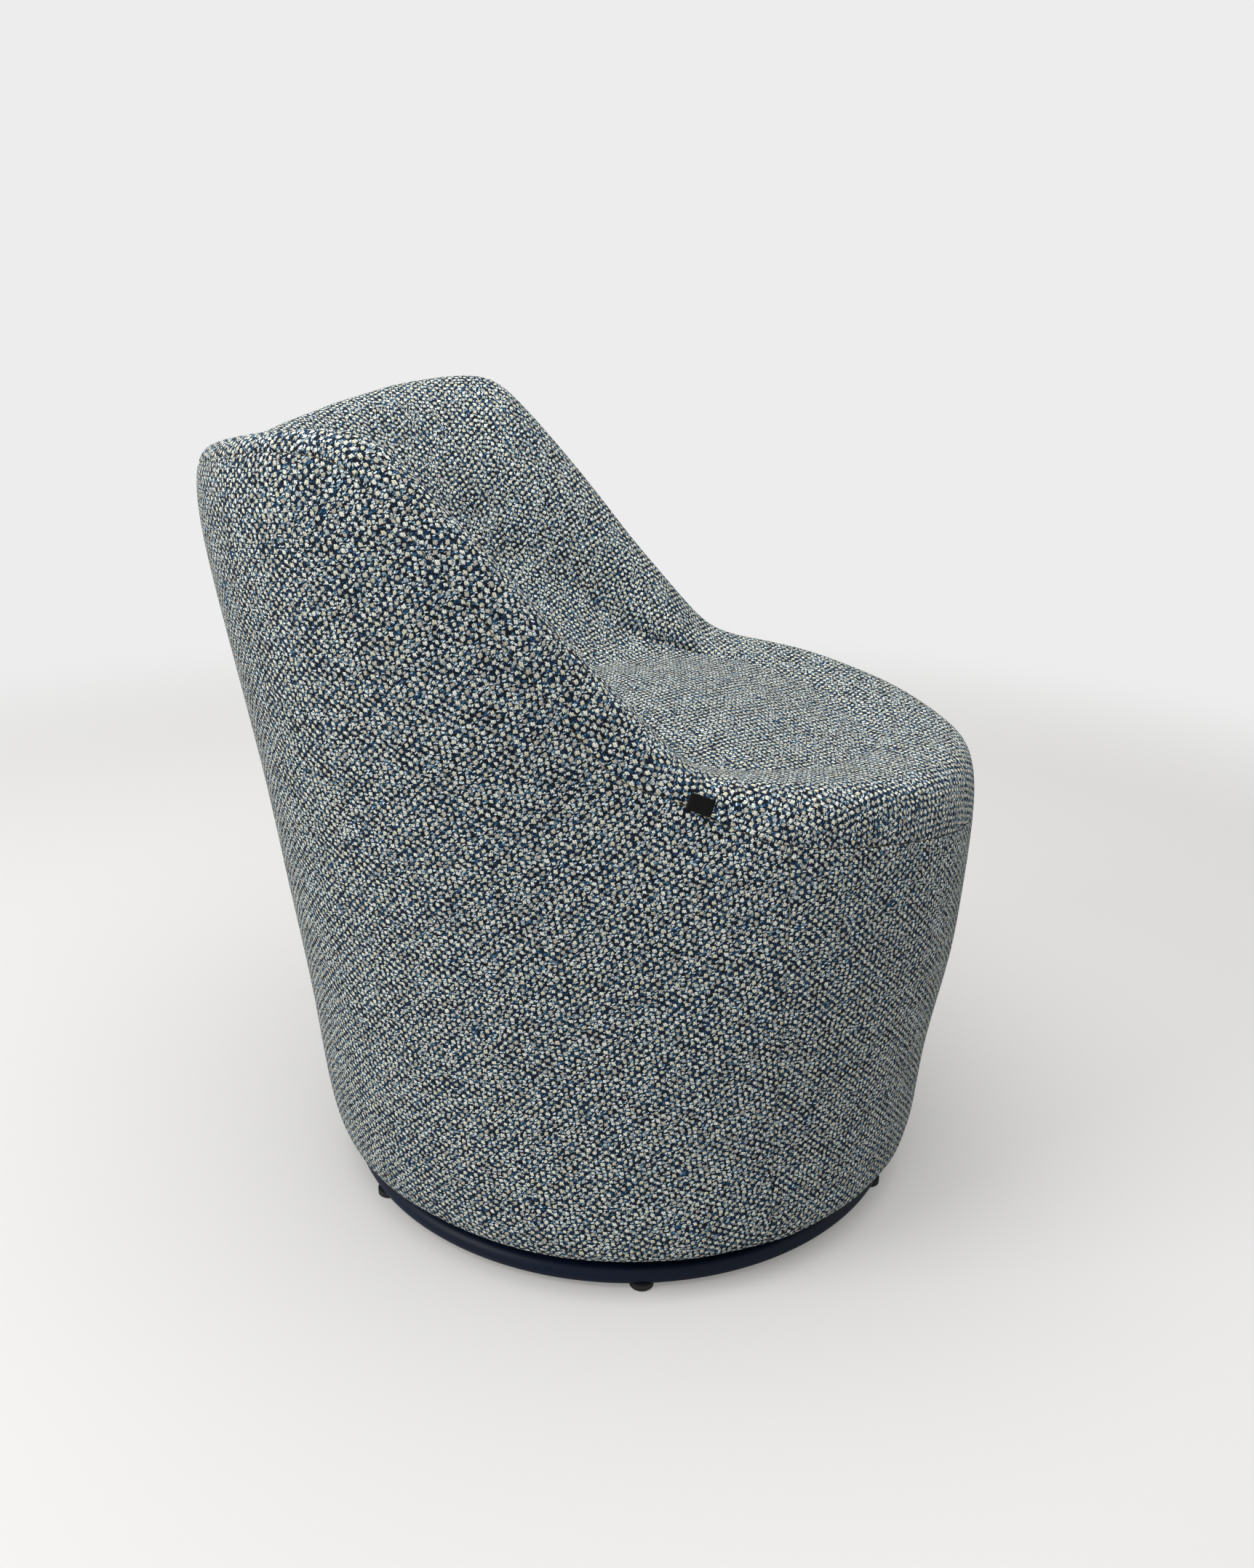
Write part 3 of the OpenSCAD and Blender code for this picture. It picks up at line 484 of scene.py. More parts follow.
class Paint(Net):
    """A material. Its shader's constant values are given at once."""

    FIRST = "ShaderNode"

    def __init__(self, name, **constants):
        self.material = bpy.data.materials.new(name)
        self.material.use_nodes = True
        self.tree = self.material.node_tree
        self.shader = self.tree.nodes["Principled BSDF"]
        for key, value in constants.items():
            self.shader.inputs[key.replace("_", " ")].default_value = value

    def place(self, scale=(1, 1, 1), turn=(0, 0, 0)):
        """The point on the piece, in metres, turned and scaled."""
        here = self.node("TexCoord", out="Object")
        return self.node("Mapping", None, {"Vector": here, "Scale": scale, "Rotation": turn})

    def noise(self, vector, scale, detail=2.0, rough=0.5, out="Fac"):
        return self.node(
            "TexNoise", None, {"Vector": vector, "Scale": scale, "Detail": detail, "Roughness": rough}, out
        )

    def move(self, vector, by, amount):
        """A vector moved by another one, times an amount."""
        return self.node(
            "VectorMath", {"operation": "MULTIPLY_ADD"}, {0: by, 1: (amount, amount, amount), 2: vector}
        )

    def mix(self, share, a, b, how="MIX"):
        a, b = (linear(c) if isinstance(c, tuple) else c for c in (a, b))
        return self.node("Mix", {"data_type": "RGBA", "blend_type": how}, {0: share, 6: a, 7: b}, out=2)

    def ramp(self, value, *stops):
        return self.node("ValToRGB", {"stops": stops}, {0: value}, "Color")

    def finish(self, colour=None, rough=None, height=None, depth=0.0005, strength=1.0):
        """Links what varies over the surface to the shader."""
        for wire, key in ((colour, "Base Color"), (rough, "Roughness")):
            if wire is not None:
                self.tree.links.new(wire.socket, self.shader.inputs[key])
        if height is not None:
            bump = self.node("Bump", None, {"Height": height, "Distance": depth, "Strength": strength})
            self.tree.links.new(bump.socket, self.shader.inputs["Normal"])
        return self.material


def upholstery():
    """Coarse basket weave: floats of three cream strands in a net of diamonds, over a weft of short dyed strands."""
    p = Paint("upholstery_weave", Roughness=0.92, Specular_IOR_Level=0.12, Sheen_Weight=0.03, Sheen_Roughness=0.6)
    flat = p.node("UVMap", {"uv_map": "cloth"})
    drift = p.noise(flat, 80.0, 1.0, out="Color")
    bent = p.move(flat, drift, 0.0030)
    across, along = p.split(bent)[:2]
    x, y = across / FLOAT_W, along / FLOAT_H
    a, b = ((x + y) * 0.5 + 0.5).floor(), ((x - y) * 0.5 + 0.5).floor()
    chance = p.node("TexWhiteNoise", {"noise_dimensions": "2D"}, {"Vector": p.join(a, b)}, "Color")
    first, second, third = p.split(chance)
    patch = p.noise(flat, 24.0, 3.0, 0.6)
    fx = x - (a + b) + 0.20 * (second - 0.5)
    yarn = fx * 3.3 + (y - (a - b)) * 0.5 + first
    fy = y - (a - b) + 0.20 * (third - 0.5) + 0.24 * ((yarn.floor() * 0.39 + second) % 1.0 - 0.5)
    ragged = p.noise(flat, 900.0, 1.0)
    size = 1.0 + 0.22 * (first - 0.5) + 0.25 * (patch - 0.5) + 0.9 * (ragged - 0.5)
    reach = (fx / (size * 0.36)) ** 4.0 + (fy / (size * 0.45)) ** 4.0
    kept = 1.0 - (third + 0.3 * (patch - 0.5)).ease(0.97, 1.01)
    raised = (1.0 - reach.ease(0.6, 1.3)) * kept

    lean = math.radians(WEFT_LEAN)
    run = (across * math.cos(lean) + along * math.sin(lean)) / STRAND_L
    rise = (along * math.cos(lean) - across * math.sin(lean)) / STRAND_W + 2.4 * p.noise(flat, 300.0, 1.0)
    strand = rise.floor()
    start = run + 7.0 * p.node("TexWhiteNoise", {"noise_dimensions": "1D"}, {"W": strand}, "Value")
    stitch = start.floor()
    dye = p.node("TexWhiteNoise", {"noise_dimensions": "2D"}, {"Vector": p.join(stitch, strand)}, "Value")
    fibre = p.noise(p.join(run * 1.3, rise * 2.1), 1.0, 2.0)
    off = abs(rise - strand - 0.5) * 2.0
    end = abs(start - stitch - 0.5) * 2.0
    swell = (1.15 - off * off - end**4.0 * 0.7).least(1.0)
    weft = p.ramp(
        0.40 * ((strand + stitch) % 2.0) + 0.60 * dye + 0.4 * (fibre - 0.5) + 0.12 * (patch - 0.5),
        (0.13, INK_AND_SHADE), (0.38, NAVY), (0.52, DEEP_BLUE), (0.58, STEEL_BLUE), (0.63, MIST), (0.71, CHALK),
    )
    # Painted shade: each weft strand is darkened towards its sides and ends, as shade on its rounded edges.
    weft = p.mix(swell, INK_AND_SHADE, weft)

    warp = p.ramp(second, (0.0, FROST), (0.10, CREAM), (0.60, IVORY), (0.88, SAND), (1.0, OATMEAL))
    groove = 1.0 - abs(yarn % 1.0 - 0.5) * 2.0
    # Painted shade: dark lines in the grooves between the strands of each float.
    warp = p.mix((1.0 - groove.ease(0.0, 0.45)) * 0.85, warp, GROOVE_SHADE)
    warp = p.mix((0.46 - fibre) * 3.2, warp, PEWTER)
    # Painted shade: each float darkens towards its rounded edges.
    warp = p.mix(reach.ease(0.25, 1.1) * 0.40, warp, FLOAT_SHADE)
    # Painted shade: a dark ring in the crevice round each float.
    rim = reach.ease(0.7, 1.2) * (1.0 - reach.ease(2.0, 7.0)) * kept
    colour = p.mix(raised, p.mix(rim * 0.75, weft, INK_AND_SHADE), warp)
    dome = (1.0 - 0.6 * reach.least(1.0)) * (0.75 + 0.25 * groove)
    height = raised * (0.5 + 0.5 * dome) + (1.0 - raised) * (0.45 * swell + 0.15 * dye)
    return p.finish(colour, height=height, depth=WEAVE_DEPTH)


def powder_coat(name, colour, rough):
    """Satin powder coat with a fine orange peel."""
    p = Paint(name, Coat_Weight=0.03, Coat_Roughness=0.30, Specular_IOR_Level=0.15)
    here = p.place()
    fine, broad = p.noise(here, 900.0, 2.0), p.noise(here, 9.0, 2.0)
    shade = p.mix(broad, tuple(int(c * 0.85) for c in colour), tuple(min(255, int(c * 1.2) + 2) for c in colour))
    return p.finish(shade, rough + 0.10 * (broad - 0.5) + 0.05 * fine, fine, 0.00015, 0.35)


def plated_steel(name, colour, rough, grain=0.0):
    """Plated or turned steel with faint spangle and rubbed places."""
    p = Paint(name, Metallic=1.0)
    here = p.place()
    spangle = p.node("TexVoronoi", None, {"Vector": here, "Scale": 160.0}, "Color")
    cell = p.split(spangle)[0]
    rub = p.noise(here, 30.0, 4.0, 0.6)
    low = tuple(int(c * 0.80) for c in colour)
    shade = p.mix(0.5 * cell + 0.5 * rub, low, colour)
    lines = p.noise(p.place((grain + 1.0, grain + 1.0, 60.0)), 40.0, 2.0)
    return p.finish(shade, rough + 0.16 * (rub - 0.5) + 0.05 * cell, lines + 0.4 * rub, 0.00008, 0.4)


def moulded_plastic(name, colour):
    """Black moulded plastic with a fine spark-eroded grain."""
    p = Paint(name, Specular_IOR_Level=0.4)
    here = p.place()
    grain, dust = p.noise(here, 1600.0, 1.0), p.noise(here, 70.0, 3.0)
    shade = p.mix(dust, colour, tuple(c + 14 for c in colour))
    return p.finish(shade, 0.50 + 0.15 * dust, grain, 0.0001, 0.5)


def birch_plywood(name, turn=None):
    """Birch plywood with its plies in the edges. turn is an upright board's plan direction, in degrees."""
    p = Paint(name, Specular_IOR_Level=0.3)
    spin = (0, 0, 0) if turn is None else (0, 0, math.radians(-turn))
    here = p.place(turn=spin)
    x, y, z = p.split(here)
    through, level = (z, p.join(x * 14.0, y, z * 20.0)) if turn is None else (x, p.join(x * 20.0, y, z * 14.0))
    grain = p.noise(level, 6.0, 5.0, 0.6)
    fibre = p.noise(level, 90.0, 2.0)
    face = p.ramp(grain, (0.25, (205, 172, 124)), (0.50, (224, 194, 148)), (0.75, (188, 150, 104)))
    ply = ((through * 390.0).floor() % 2.0)
    normal = p.node("NewGeometry", out="Normal")
    n = p.split(p.node("VectorRotate", {"rotation_type": "Z_AXIS"}, {"Vector": normal, "Angle": spin[2]}))
    edge = abs(n[2] if turn is None else n[0]).ease(0.75, 0.65)
    colour = p.mix(edge * ply * 0.6, face, (136, 98, 62))
    colour = p.mix((fibre - 0.62) * 2.0, colour, (150, 114, 76))
    return p.finish(colour, 0.55 + 0.2 * fibre, fibre + 0.5 * grain, 0.0002, 0.5)


def open_foam():
    """Moulded cold foam: pale, with small open cells under a thin skin."""
    p = Paint("moulded_foam", Specular_IOR_Level=0.15, Roughness=0.95)
    here = p.place()
    cells = p.node("TexVoronoi", {"feature": "SMOOTH_F1"}, {"Vector": here, "Scale": 420.0}, "Distance")
    tone = p.noise(here, 12.0, 3.0)
    colour = p.mix(tone, (238, 226, 190), (224, 206, 158))
    # Painted shade: darker in the pits of the open cells.
    colour = p.mix((0.35 - cells) * 1.6, colour, (190, 168, 118))
    return p.finish(colour, height=cells, depth=0.0006, strength=0.6)


def webbing():
    """Elastic webbing: ribbed cloth, dark grey with paler lines along the strap."""
    p = Paint("strap_webbing", Specular_IOR_Level=0.2, Roughness=0.85)
    x, y, z = p.split(p.place())
    rib = abs((x + y) * 450.0 % 1.0 - 0.5) + abs((x - y) * 450.0 % 1.0 - 0.5)
    lint = p.noise(p.place(), 500.0, 2.0)
    colour = p.mix(rib, (44, 44, 47), (78, 78, 82))
    colour = p.mix((lint - 0.6) * 3.0, colour, (120, 120, 122))
    return p.finish(colour, height=rib + 0.4 * lint, depth=0.0004, strength=0.8)


def dust_cloth():
    """Spun-bonded dust cloth: black, pressed in a fine grid of dots, with loose fibres."""
    p = Paint("dust_cloth_black", Specular_IOR_Level=0.2, Roughness=0.88)
    x, y, z = p.split(p.place())
    dots = ((x * 2600.0).sine() * (y * 2600.0).sine()).ease(0.1, 0.5)
    fibres = p.noise(p.place((1, 7, 1), (0, 0, 0.6)), 260.0, 3.0)
    colour = p.mix(fibres, (22, 22, 24), (52, 52, 56))
    return p.finish(colour, height=fibres - 0.8 * dots, depth=0.0003, strength=0.7)


def tag_tape():
    """Plain black satin tape with fine ribs across it."""
    p = Paint("tag_tape_black", Specular_IOR_Level=0.12)
    x, y, z = p.split(p.node("UVMap", {"uv_map": "cloth"}))
    rib = abs((y * 2200.0) % 1.0 - 0.5) * 2.0
    warp = abs((x * 2600.0) % 1.0 - 0.5) * 2.0
    lint = p.noise(p.place(), 700.0, 2.0)
    colour = p.mix(0.5 * rib + 0.5 * lint, (3, 3, 4), (13, 13, 15))
    return p.finish(colour, 0.65 + 0.2 * lint, rib + 0.4 * warp, 0.0001, 0.6)


WEAVE = upholstery()
RING_PAINT = powder_coat("ring_navy", (4, 16, 35), 0.45)
BAR_PAINT = powder_coat("bar_black", (20, 21, 25), 0.45)
ZINC = plated_steel("zinc_plate", (178, 182, 186), 0.34)
BOLT_STEEL = plated_steel("bolt_steel", (150, 152, 156), 0.30, 2.0)
BALL_STEEL = plated_steel("ball_steel", (214, 216, 220), 0.10)
CAGE_BRASS = plated_steel("cage_brass", (196, 158, 84), 0.28)
FOOT_PLASTIC = moulded_plastic("foot_black", (12, 12, 14))
FOAM = open_foam()
WEBBING = webbing()
DUST = dust_cloth()
TAG_TAPE = tag_tape()


# Covers
def unevenness(points):
    """Slow swells of the foam under the cloth, the same every run."""
    x, y, z = points[..., 0], points[..., 1], points[..., 2]
    return (
        0.0007 * np.sin(17 * x + 9 * z + 1.3) * np.cos(13 * y - 7 * z)
        + 0.0005 * np.sin(31 * y + 23 * z + 0.4) * np.cos(27 * x + 5 * z)
        + 0.0003 * np.sin(61 * x - 47 * y + 33 * z)
    )


def cover_height(u, s):
    """How far the cloth stands out from the plain surface: seams pull it in, and it puckers beside them."""
    p = surface(u, s)
    span = np.linalg.norm(surface(u, s + 0.01) - surface(u, s), axis=-1) / 0.01
    level = (s - seam_at(u)) * span
    turn = (u + 180) % 360 - 180
    upright = np.radians(np.abs(np.abs(turn) - SEAM_ANGLE)) * np.hypot(p[..., 0], p[..., 1] + MIDDLE)
    below = smooth((SEAM_SPAN + 0.6 - s) / 0.2)
    rise = unevenness(p) - SEAM_DIP * np.exp(-((level / DIP_W) ** 2))
    rise = rise - UPRIGHT_DIP * below * np.exp(-((upright / DIP_W) ** 2)) * (level < 0)
    run = np.radians(turn) * 0.30
    ripple = np.sin(run * 430 + 2.2 * np.sin(run * 57)) * np.sin(run * 97 + 1.1)
    return rise + PUCKER * ripple * np.exp(-np.abs(level) / PUCKER_W)


def cover_points(u, s):
    """The cloth's outer face, with its seams and its slow swells."""
    return stretched(u, s) + outward(u, s) * cover_height(u, s)[..., None]


def cloth_piece(name, patches, flat_area, node):
    """A cover from patches of (turns, places, flat places), sewn edge to edge, with the cloth's thickness."""
    points, faces, flats, start = [], [], [], 0
    for u, s, uv in patches:
        net = cover_points(u, s)
        points.append(net.reshape(-1, 3))
        faces.append(grid_faces(*u.shape) + start)
        flats.append(uv.reshape(-1, 2))
        start += u.size
    points, faces, flats = (np.concatenate(x) for x in (points, faces, flats))
    obj = mesh_object(name, points, faces)
    layer = obj.data.uv_layers.new(name="cloth")
    index = np.zeros(len(obj.data.loops), int)
    obj.data.loops.foreach_get("vertex_index", index)
    layer.data.foreach_set("uv", flats[index].ravel())
    weld = obj.modifiers.new("sew", "WELD")
    weld.merge_threshold = 0.00002
    wall = obj.modifiers.new("thickness", "SOLIDIFY")
    wall.thickness, wall.offset, wall.use_even_offset = CLOTH, -1.0, False
    apply_all(obj)
    obj.data.materials.clear()
    obj.data.materials.append(WEAVE)
    size = flats.max(0) - flats.min(0)
    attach(obj, "seat")
    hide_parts(node)
    area = min(flat_area, float(size[0] * size[1]))


def edge_rows(a, b):
    """Rows close together from an edge's row a towards the next, b, so that the cloth can dip into its seam."""
    return np.stack([between(a, b, t) for t in EDGE_SHARES])


def side_panel(name, node, first, last, columns, rows=21):
    """One side panel, from seam to seam and from its turned-in hem to the level seam."""
    pad = math.degrees(SEAM_GAP / 2 / BASE_R)
    u = np.linspace(first + pad, last - pad, columns)
    top = seam_at(u)[None, :] - SEAM_GAP / 2 / SPAN_LENGTH
    u, s = np.broadcast_arrays(u[None, :], between(HEM_PLACE, top, np.linspace(0, 1, rows)[:, None]))
    cells, area = laid_flat(surface(u, s))
    uv = corner_net(turned_up(cells, rows // 2, columns // 2))
    fine = finer(np.stack([u, s, uv[..., 0], uv[..., 1]], -1), FINER)
    for axis in (0, 1):
        g = np.moveaxis(fine, axis, 0)
        g = np.concatenate([edge_rows(g[0], g[1]), g[1:-1], edge_rows(g[-1], g[-2])[::-1]])
        fine = np.moveaxis(g, 0, axis)
    cloth_piece(name, [(fine[..., 0], fine[..., 1], fine[..., 2:])], area, node)


def cover_top():
    """The top cover in two patches of one cloth: the roll and inner back, and the seat."""
    turns = np.linspace(-180, 180, 73)
    seam = seam_at(turns)[None, :] + SEAM_GAP / 2 / SPAN_LENGTH
    wall = between(seam, CREASE_ROW, np.linspace(0, 1, 19)[:, None])
    seat = np.array([10.8, 11.1, 11.4, 11.7, 12.0, 12.3, 12.6, 12.85, 13.0])[:, None] + 0 * turns[None, :]
    s = np.concatenate([wall, seat])
    u = np.broadcast_to(turns[None, :], s.shape)
    cut = len(wall) - 1
    cells, area = laid_flat(stretched(u, s), cut, np.abs(turns[:-1] + turns[1:]) / 2 > CUT_FROM)
    cells = turned_up(cells, cut + 2, len(turns) // 2)
    patches = []
    for low, high in ((0, cut), (cut, len(s) - 1)):
        uv = corner_net(cells[low:high])
        net = np.stack([u[low : high + 1], s[low : high + 1], uv[..., 0], uv[..., 1]], -1)
        fine = finer(net, FINER)
        if low == 0:
            fine = np.concatenate([edge_rows(fine[0], fine[1]), fine[1:]])
        patches.append((fine[..., 0], fine[..., 1], fine[..., 2:]))
    cloth_piece("top_cover", patches, area, "cover_top")


def folded_tag():
    """The plain tag: one piece of tape, folded over and caught in the level seam."""
    ends = TAG_ANGLE + np.array([-TAG_TURN, TAG_TURN])
    seam = seam_at(ends)
    caught = surface(ends, seam + SEAM_GAP / 2 / SPAN_LENGTH)
    low, side = caught.mean(0), unit(caught[1] - caught[0])
    rough = surface(ends, seam + (CREST - seam) / 3).mean(0) - low
    along = unit(rough - side * (side @ rough))
    lean, twist = math.radians(TAG_LEAN), math.radians(TAG_TWIST)
    up = along * math.cos(lean) + np.cross(side, along) * math.sin(lean)
    out = np.cross(side, up)
    side, up = side * math.cos(twist) + up * math.sin(twist), up * math.cos(twist) - side * math.sin(twist)
    steps, wide, half = 28, 12, TAG_T / 2 - 0.00025
    turn = np.linspace(0, 1, steps)
    points, flats = [], []
    for i, t in enumerate(turn):
        run = t * 2 * TAG_H
        if run < TAG_H - half:
            climb, lift = run, half
        elif run > TAG_H + half:
            climb, lift = 2 * TAG_H - run, -half
        else:
            fold = (run - (TAG_H - half)) / (2 * half) * math.pi
            climb, lift = TAG_H - half + half * math.sin(fold), half * math.cos(fold)
        for k in range(wide + 1):
            x = (k / wide - 0.5) * TAG_W
            bow = 0.0009 * math.sin(math.pi * k / wide) + 0.0004 * math.sin(9 * k / wide)
            curl = 0.0012 * (climb / TAG_H) ** 2 + bow * climb / TAG_H
            taper = 1.0 - 0.05 * (climb / TAG_H) ** 3
            points.append(low + side * x * taper + up * (climb - 0.001) + out * (0.0008 + TAG_T / 2 + lift + curl))
            flats.append((x, run))
    obj = mesh_object("plain_tag", points, grid_faces(steps, wide + 1))
    layer = obj.data.uv_layers.new(name="cloth")
    for loop in obj.data.loops:
        layer.data[loop.index].uv = flats[loop.vertex_index]
    wall = obj.modifiers.new("thickness", "SOLIDIFY")
    wall.thickness, wall.offset = TAPE, 0.0
    apply_all(obj)
    obj.data.materials.append(TAG_TAPE)
    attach(obj, "seat")
    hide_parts("side_tag")


# Foam
def hollow(u):
    """The foam's hollow for the frame, as distance and height: its foot inside, top inside and top outside."""
    edge = np.stack([plan_r(u), edge_z(u)], -1)
    up = unit(edge - [BASE_R, BASE_Z])
    out = np.stack([up[..., 1], -up[..., 0]], -1)
    top = edge - FOAM_OVER * up
    wall = BASE_R + (plan_r(u) - BASE_R) * (RIM_TOP - BASE_Z) / (edge_z(u) - BASE_Z) - FOAM_OUT
    share = np.clip((edge_z(u) - FOAM_OVER - RIM_TOP) / 0.040, 0, 1)[..., None]
    level = np.stack([wall, wall * 0 + RIM_TOP + FIT], -1)
    outer = level + (top - FOAM_OUT * out - level) * share
    lap = level - [RIM_LAP, 0]
    inner = lap + (top - (ROLL_W - FOAM_IN) * out - lap) * share
    foot = np.stack([crease_r(u) + FOAM_LEDGE, wall * 0 + RIM_TOP + FIT], -1)
    return foot, inner, outer


def under_cloth(u, s):
    """The foam's own face, under the cloth and its dips."""
    return stretched(u, s) - outward(u, s) * UNDER_CLOTH


def closed_loft(name, nets, all_round):
    """A closed solid through nets of points, columns by outline points by 3.

    One that goes all round has chains from pole to pole. Any other has closed outlines, and its ends are filled.
    """
    columns, n = nets.shape[:2]
    last = columns if all_round else columns - 1
    faces = [
        (j * n + k, ((j + 1) % columns) * n + k, ((j + 1) % columns) * n + (k + 1) % n, j * n + (k + 1) % n)
        for j in range(last)
        for k in range(n - 1 if all_round else n)
    ]
    obj = mesh_object(name, nets.reshape(-1, 3), faces)
    if not all_round:
        edit = bmesh.new()
        edit.from_mesh(obj.data)
        edit.verts.ensure_lookup_table()
        for start in (0, (columns - 1) * n):
            edges = [edit.edges.get((edit.verts[start + k], edit.verts[start + (k + 1) % n])) for k in range(n)]
            bmesh.ops.triangle_fill(edit, use_beauty=True, edges=[e for e in edges if e])
        bmesh.ops.recalc_face_normals(edit, faces=edit.faces)
        edit.to_mesh(obj.data)
        edit.free()
    return obj


def foam_wall(name, first, last, columns):
    """A moulded block of wall foam between two plan directions, hollow for the frame."""
    u = np.linspace(first, last, columns)
    skin_s = np.concatenate([np.linspace(1.1, 6.2, 20), np.linspace(6.4, CREASE_ROW, 22)])
    grid_u, grid_s = np.broadcast_arrays(u[:, None], skin_s[None, :])
    skin = under_cloth(grid_u, grid_s)
    crease = skin[:, -1].copy()
    crease[:, 2] = RIM_TOP + FIT
    low = [np.stack([u * 0 + BOARD_CLEAR, u * 0 + z], -1) for z in (BOARD_TOP + FIT, BOARD_Z + 0.001)]
    chain = [crease] + [set_out(u, profile) for profile in (*hollow(u), *low)]
    return closed_loft(name, np.concatenate([skin, np.stack(chain, 1)], 1), False)


def foam_pad(name):
    """The seat's foam: a crowned round pad that stands on the webbing."""
    u = np.linspace(0, 360, 121)[:-1]
    grid_u, grid_s = np.broadcast_arrays(u[:, None], np.linspace(CREASE_ROW, SPAN_TO, 24)[None, :])
    top = under_cloth(grid_u, grid_s)
    top[:, :1, :2] *= 0.998
    side = top[:, :1].copy()
    side[..., 2] = STRAP_TOP + FIT
    low, high = (np.broadcast_to([0, -MIDDLE, z], (len(u), 1, 3)) for z in (STRAP_TOP + FIT, SEAT_TOP - UNDER_CLOTH))
    return closed_loft(name, np.concatenate([low, side, top, high], 1), True)


def foam_block(node, make, *values):
    """A moulded foam block in place of its solid, with its corners rounded as a mould leaves them."""
    obj = make("soft_" + node, *values)
    weld = obj.modifiers.new("merge", "WELD")
    weld.merge_threshold = 0.00001
    bevel = obj.modifiers.new("round", "BEVEL")
    bevel.width, bevel.segments, bevel.limit_method, bevel.angle_limit = FOAM_ROUND, 2, "ANGLE", math.radians(50)
    apply_all(obj)
    obj.data.materials.clear()
    obj.data.materials.append(FOAM)
    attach(obj, "seat")
    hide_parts(node)


# Base and fasteners
def plan_way(turn):
    """Unit vectors away from the axis and across, for a plan direction in degrees."""
    a = math.radians(turn)
    return Vector((math.sin(a), -math.cos(a), 0)), Vector((math.cos(a), math.sin(a), 0))


def tube_ring():
    """The base ring: one bent tube, rolled round and welded shut."""
    t = Shape(
        "bent_ring", Ring_radius=RING_R, Tube_radius=TUBE_R, Weld_height=0.0004, Weld_width=0.003,
        Middle=(0.0, -MIDDLE, RING_Z), Material=RING_PAINT,
    )
    path = t.node("CurvePrimitiveCircle", None, {"Resolution": 240, "Radius": t.size("Ring radius")})
    section = t.node("CurvePrimitiveCircle", None, {"Resolution": 40, "Radius": t.size("Tube radius")})
    tube = t.node("CurveToMesh", None, {0: path, 1: section})
    away, across = plan_way(187)
    here = t.node("InputPosition")
    near = (t.size("Weld width") - abs(t.dot(here, tuple(across)))).ease(0.0, 0.003) * (t.dot(here, tuple(away)) > 0.0)
    bead = t.scaled(t.node("InputNormal"), near * t.size("Weld height"))
    tube = t.node("SetPosition", None, {"Geometry": tube, "Offset": bead})
    tube = t.node("Transform", None, {"Geometry": tube, "Translation": t.size("Middle")})
    ring = t.made("tube_ring", tube, "base", "ring_paint")
    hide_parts("base_ring")


def weld_beads():
    """The welds of the base, in overlapping ripples: bars to ring, and hub plate to bars."""
    points, edges, proud = [], [], 0.0004
    centre = Vector((0, -MIDDLE, 0))
    heights = [RING_Z + BAR_H * (k / 12 - 0.5) for k in range(13)]

    def set_in(z):
        return RING_R - math.sqrt(TUBE_R**2 - (z - RING_Z) ** 2) - proud

    for quarter in range(4):
        away, across = plan_way(BAR_TURN + 90 * quarter)
        half = BAR_W / 2 + 0.0003
        rim = [(set_in(z), -half, z) for z in heights]
        rim += [(set_in(heights[-1]), half * (k / 4 - 1), heights[-1] + 0.0003) for k in range(1, 8)]
        rim += [(set_in(z), half, z) for z in reversed(heights)]
        plate = [
            (math.sqrt((HUB_R + proud) ** 2 - y * y), y, RING_Z + BAR_H / 2 + 0.0005)
            for y in (BAR_W / 2 * (k / 6 - 1) for k in range(13))
        ]
        for path in (rim, plate):
            edges += [(len(points) + k, len(points) + k + 1) for k in range(len(path) - 1)]
            points += [centre + away * r + across * y + Vector((0, 0, z)) for r, y, z in path]
    t = Shape("ripples", Pitch=0.0011, Bead=0.0021, Flat=(0.55, 1.0, 0.62), Material=BAR_PAINT)
    path = t.node("MeshToCurve", None, {0: t.size("Geometry")})
    path = t.node("ResampleCurve", {"mode": "LENGTH"}, {"Curve": path, "Length": t.size("Pitch")})
    drop = t.node("MeshUVSphere", None, {"Segments": 8, "Rings": 5, "Radius": t.size("Bead")})
    turn = t.node("AlignRotationToVector", {"axis": "X"}, {"Vector": t.node("InputTangent")})
    size = t.node("RandomValue", {"data_type": "FLOAT"}, {"Min": 0.85, "Max": 1.1, "Seed": 3}, 1)
    drops = t.node(
        "InstanceOnPoints", None,
        {"Points": path, "Instance": drop, "Rotation": turn, "Scale": t.scaled(t.size("Flat"), size)},
    )
    return t.made("weld_beads", drops, "base", "bar_paint", points, edges)


